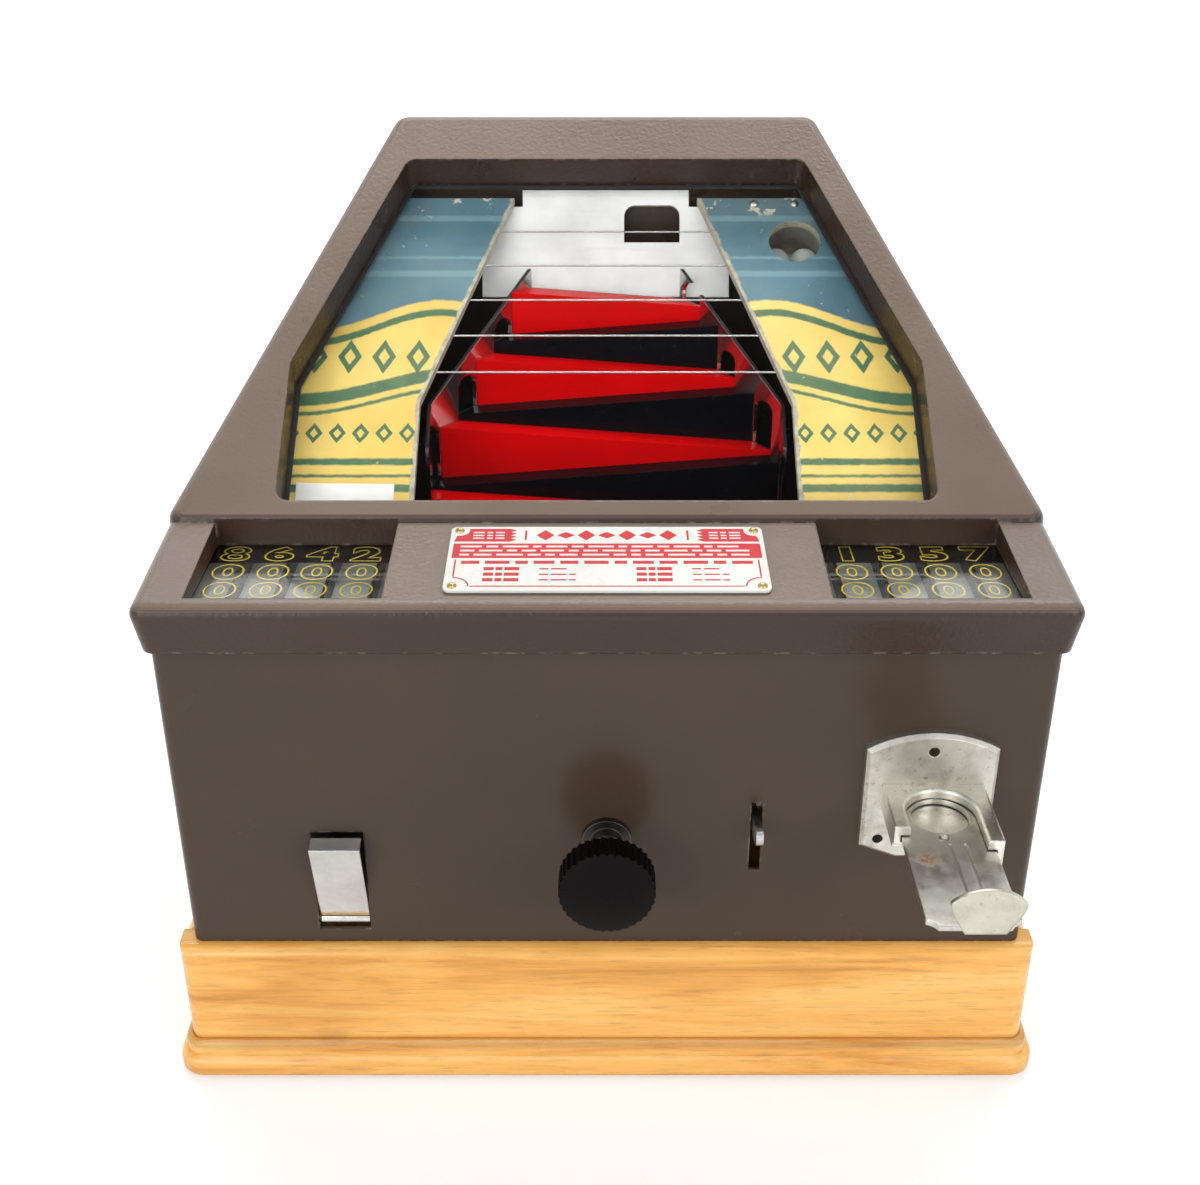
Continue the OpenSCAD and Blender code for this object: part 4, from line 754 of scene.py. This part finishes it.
def pane_numerals():
    """Outlined numbers on the underside of the score glasses, each a thin line of paint."""
    line, wide, tall = 0.36, 16.0, 11.4
    sunk, flatten = 0.08, 0.16
    rows = ((47.4, "8642", "1357"), (33.0, "0000", "0000"), (19.2, "0000", "0000"))
    data = bpy.data.curves.new("pane_numerals", "CURVE")
    data.dimensions = "3D"
    data.bevel_depth = line * MM
    data.bevel_resolution = 2
    for d, left, right in rows:
        places = [(-x, c) for x, c in zip(reversed(COLUMNS), left)] + list(zip(COLUMNS, right))
        for x, char in places:
            for loop in glyph_loops(char):
                spline = data.splines.new("POLY")
                spline.points.add(len(loop) - 1)
                spline.use_cyclic_u = True
                for point, (u, v) in zip(spline.points, loop):
                    point.co = (*at(x + wide * u, d + tall * v, PANE_Z), 1.0)
    mesh = mesh_of(data)
    for vert in mesh.vertices:
        vert.co.z = (PANE_Z - sunk) * MM + (vert.co.z - PANE_Z * MM) * flatten
    add_piece("pane_numerals", mesh, "ink_yellow")


def blank_card():
    """A plain card stuck at the foot of the left board, one corner a little lifted."""
    left, foot, width, height, slant = -117, 9.0, 37, 9.8, 0.3
    thick, gap, curl = 0.25, 0.02, 6.0
    wide, high = 20, 6
    verts, faces = [], []
    for n in (0.0, thick):
        for j in range(high + 1):
            for i in range(wide + 1):
                u, v = i / wide, j / high
                lift = max(0.0, v - u * curl) ** 2
                x, up = left + width * u, foot + height * v - slant * u
                verts.append(on_slope(x, up, BOARD_N + n + lift + gap))
    row, layer = wide + 1, (wide + 1) * (high + 1)
    for j in range(high):
        for i in range(wide):
            a = j * row + i
            faces.append([a + layer, a + 1 + layer, a + row + 1 + layer, a + row + layer])
            faces.append([a + row, a + row + 1, a + 1, a])
    rim = list(range(row)) + [j * row + wide for j in range(1, high + 1)]
    rim += [high * row + i for i in range(wide - 1, -1, -1)]
    rim += [j * row for j in range(high - 1, 0, -1)]
    for a, b in zip(rim, rim[1:] + rim[:1]):
        faces.append([a, b, b + layer, a + layer])
    mesh = bpy.data.meshes.new("blank_card")
    mesh.from_pydata(verts, [], faces)
    add_piece("blank_card", mesh, "card")


return_spring()
right_screws()
plate_print()
pane_numerals()
blank_card()


# Camera at the photograph's angle

cam_data = bpy.data.cameras.new("camera")
cam_data.lens = 46.0
cam_data.sensor_width = 36.0
cam = bpy.data.objects.new("camera", cam_data)
bpy.context.scene.collection.objects.link(cam)
cam.location = at(-2.4, -448.5, 440.5)
cam.rotation_euler = (math.radians(62.5), 0, 0)
bpy.context.scene.camera = cam


# Floor, world and lamps

def make_floor():
    """A pale floor that keeps the shadow and looks white, in mirrors and through glass too."""
    half = 12.0
    near, near_glow, distant, distant_glow = 0.30, 0.40, 1.2, 0.95
    mesh = bpy.data.meshes.new("floor")
    corners = [(-half, -half, 0), (half, -half, 0), (half, half, 0), (-half, half, 0)]
    mesh.from_pydata(corners, [], [(0, 1, 2, 3)])
    obj = bpy.data.objects.new("floor", mesh)
    bpy.context.scene.collection.objects.link(obj)
    t = Tree("floor_white")
    t.set(Roughness=0.9)
    t.colour((0.80, 0.80, 0.80))
    path = t.add("ShaderNodeLightPath").outputs
    seen = t.math("MAXIMUM", path["Is Camera Ray"], path["Is Transmission Ray"])
    seen = t.math("MAXIMUM", seen, path["Is Glossy Ray"])
    far = t.add("ShaderNodeVectorMath", operation="LENGTH")
    t.link(t.coord, far.inputs[0])
    level = t.step(far.outputs["Value"], near, distant, near_glow, distant_glow)
    glow = t.add("ShaderNodeEmission")
    t.put(glow.inputs["Strength"], t.math("MULTIPLY", seen, level))
    total = t.add("ShaderNodeAddShader")
    t.link(t.bsdf.outputs[0], total.inputs[0])
    t.link(glow.outputs[0], total.inputs[1])
    t.link(total.outputs[0], t.nt.nodes["Material Output"].inputs["Surface"])
    mesh.materials.append(t.mat)


def make_world():
    """White at the horizon and dim overhead; its light on dull surfaces is weaker than its look."""
    # Each from a lower to an upper height, with the strength at either.
    lit, looks = (0.35, 0.95, 0.62, 0.16), (0.45, 0.85, 1.0, 0.03)
    world = bpy.data.worlds.new("studio")
    bpy.context.scene.world = world
    world.use_nodes = True
    nt = world.node_tree
    back = nt.nodes["Background"]
    back.inputs[0].default_value = (1.0, 1.0, 1.0, 1.0)
    path = nt.nodes.new("ShaderNodeLightPath")
    seen = path.outputs["Is Camera Ray"]
    for kind in ("Is Glossy Ray", "Is Transmission Ray"):
        most = nt.nodes.new("ShaderNodeMath")
        most.operation = "MAXIMUM"
        nt.links.new(seen, most.inputs[0])
        nt.links.new(path.outputs[kind], most.inputs[1])
        seen = most.outputs[0]
    coord = nt.nodes.new("ShaderNodeTexCoord")
    axes = nt.nodes.new("ShaderNodeSeparateXYZ")
    nt.links.new(coord.outputs["Generated"], axes.inputs[0])
    level = nt.nodes.new("ShaderNodeMix")
    nt.links.new(seen, level.inputs["Factor"])
    for socket, span in (("A", lit), ("B", looks)):
        strength = nt.nodes.new("ShaderNodeMapRange")
        nt.links.new(axes.outputs[2], strength.inputs[0])
        for i, value in enumerate(span):
            strength.inputs[i + 1].default_value = value
        nt.links.new(strength.outputs[0], level.inputs[socket])
    nt.links.new(level.outputs["Result"], back.inputs[1])


def area_lamp(name, place, target, size, power):
    """A rectangular lamp at a place, turned to a target, in metres and watts."""
    data = bpy.data.lights.new(name, "AREA")
    data.shape = "RECTANGLE"
    data.size, data.size_y = size
    data.energy = power
    obj = bpy.data.objects.new(name, data)
    bpy.context.scene.collection.objects.link(obj)
    obj.location = place
    obj.rotation_euler = (Vector(target) - Vector(place)).to_track_quat("-Z", "Y").to_euler()


make_floor()
make_world()
area_lamp("key", (-0.75, -1.25, 0.62), (0, 0, 0.12), (0.9, 0.6), 7.0)
area_lamp("fill", (0.95, -1.1, 0.75), (0, 0, 0.12), (0.8, 0.6), 5.0)
area_lamp("rim", (0, -0.72, 1.55), (0, 0, 0.2), (2.0, 0.14), 5.0)
area_lamp("top", (0, 0.66, 1.75), (0, 0, 0.2), (1.6, 0.4), 11.0)
area_lamp("back", (0.1, 1.0, 1.45), (0, 0, 0.2), (1.5, 0.4), 9.0)
bpy.context.scene.view_settings.view_transform = "Standard"
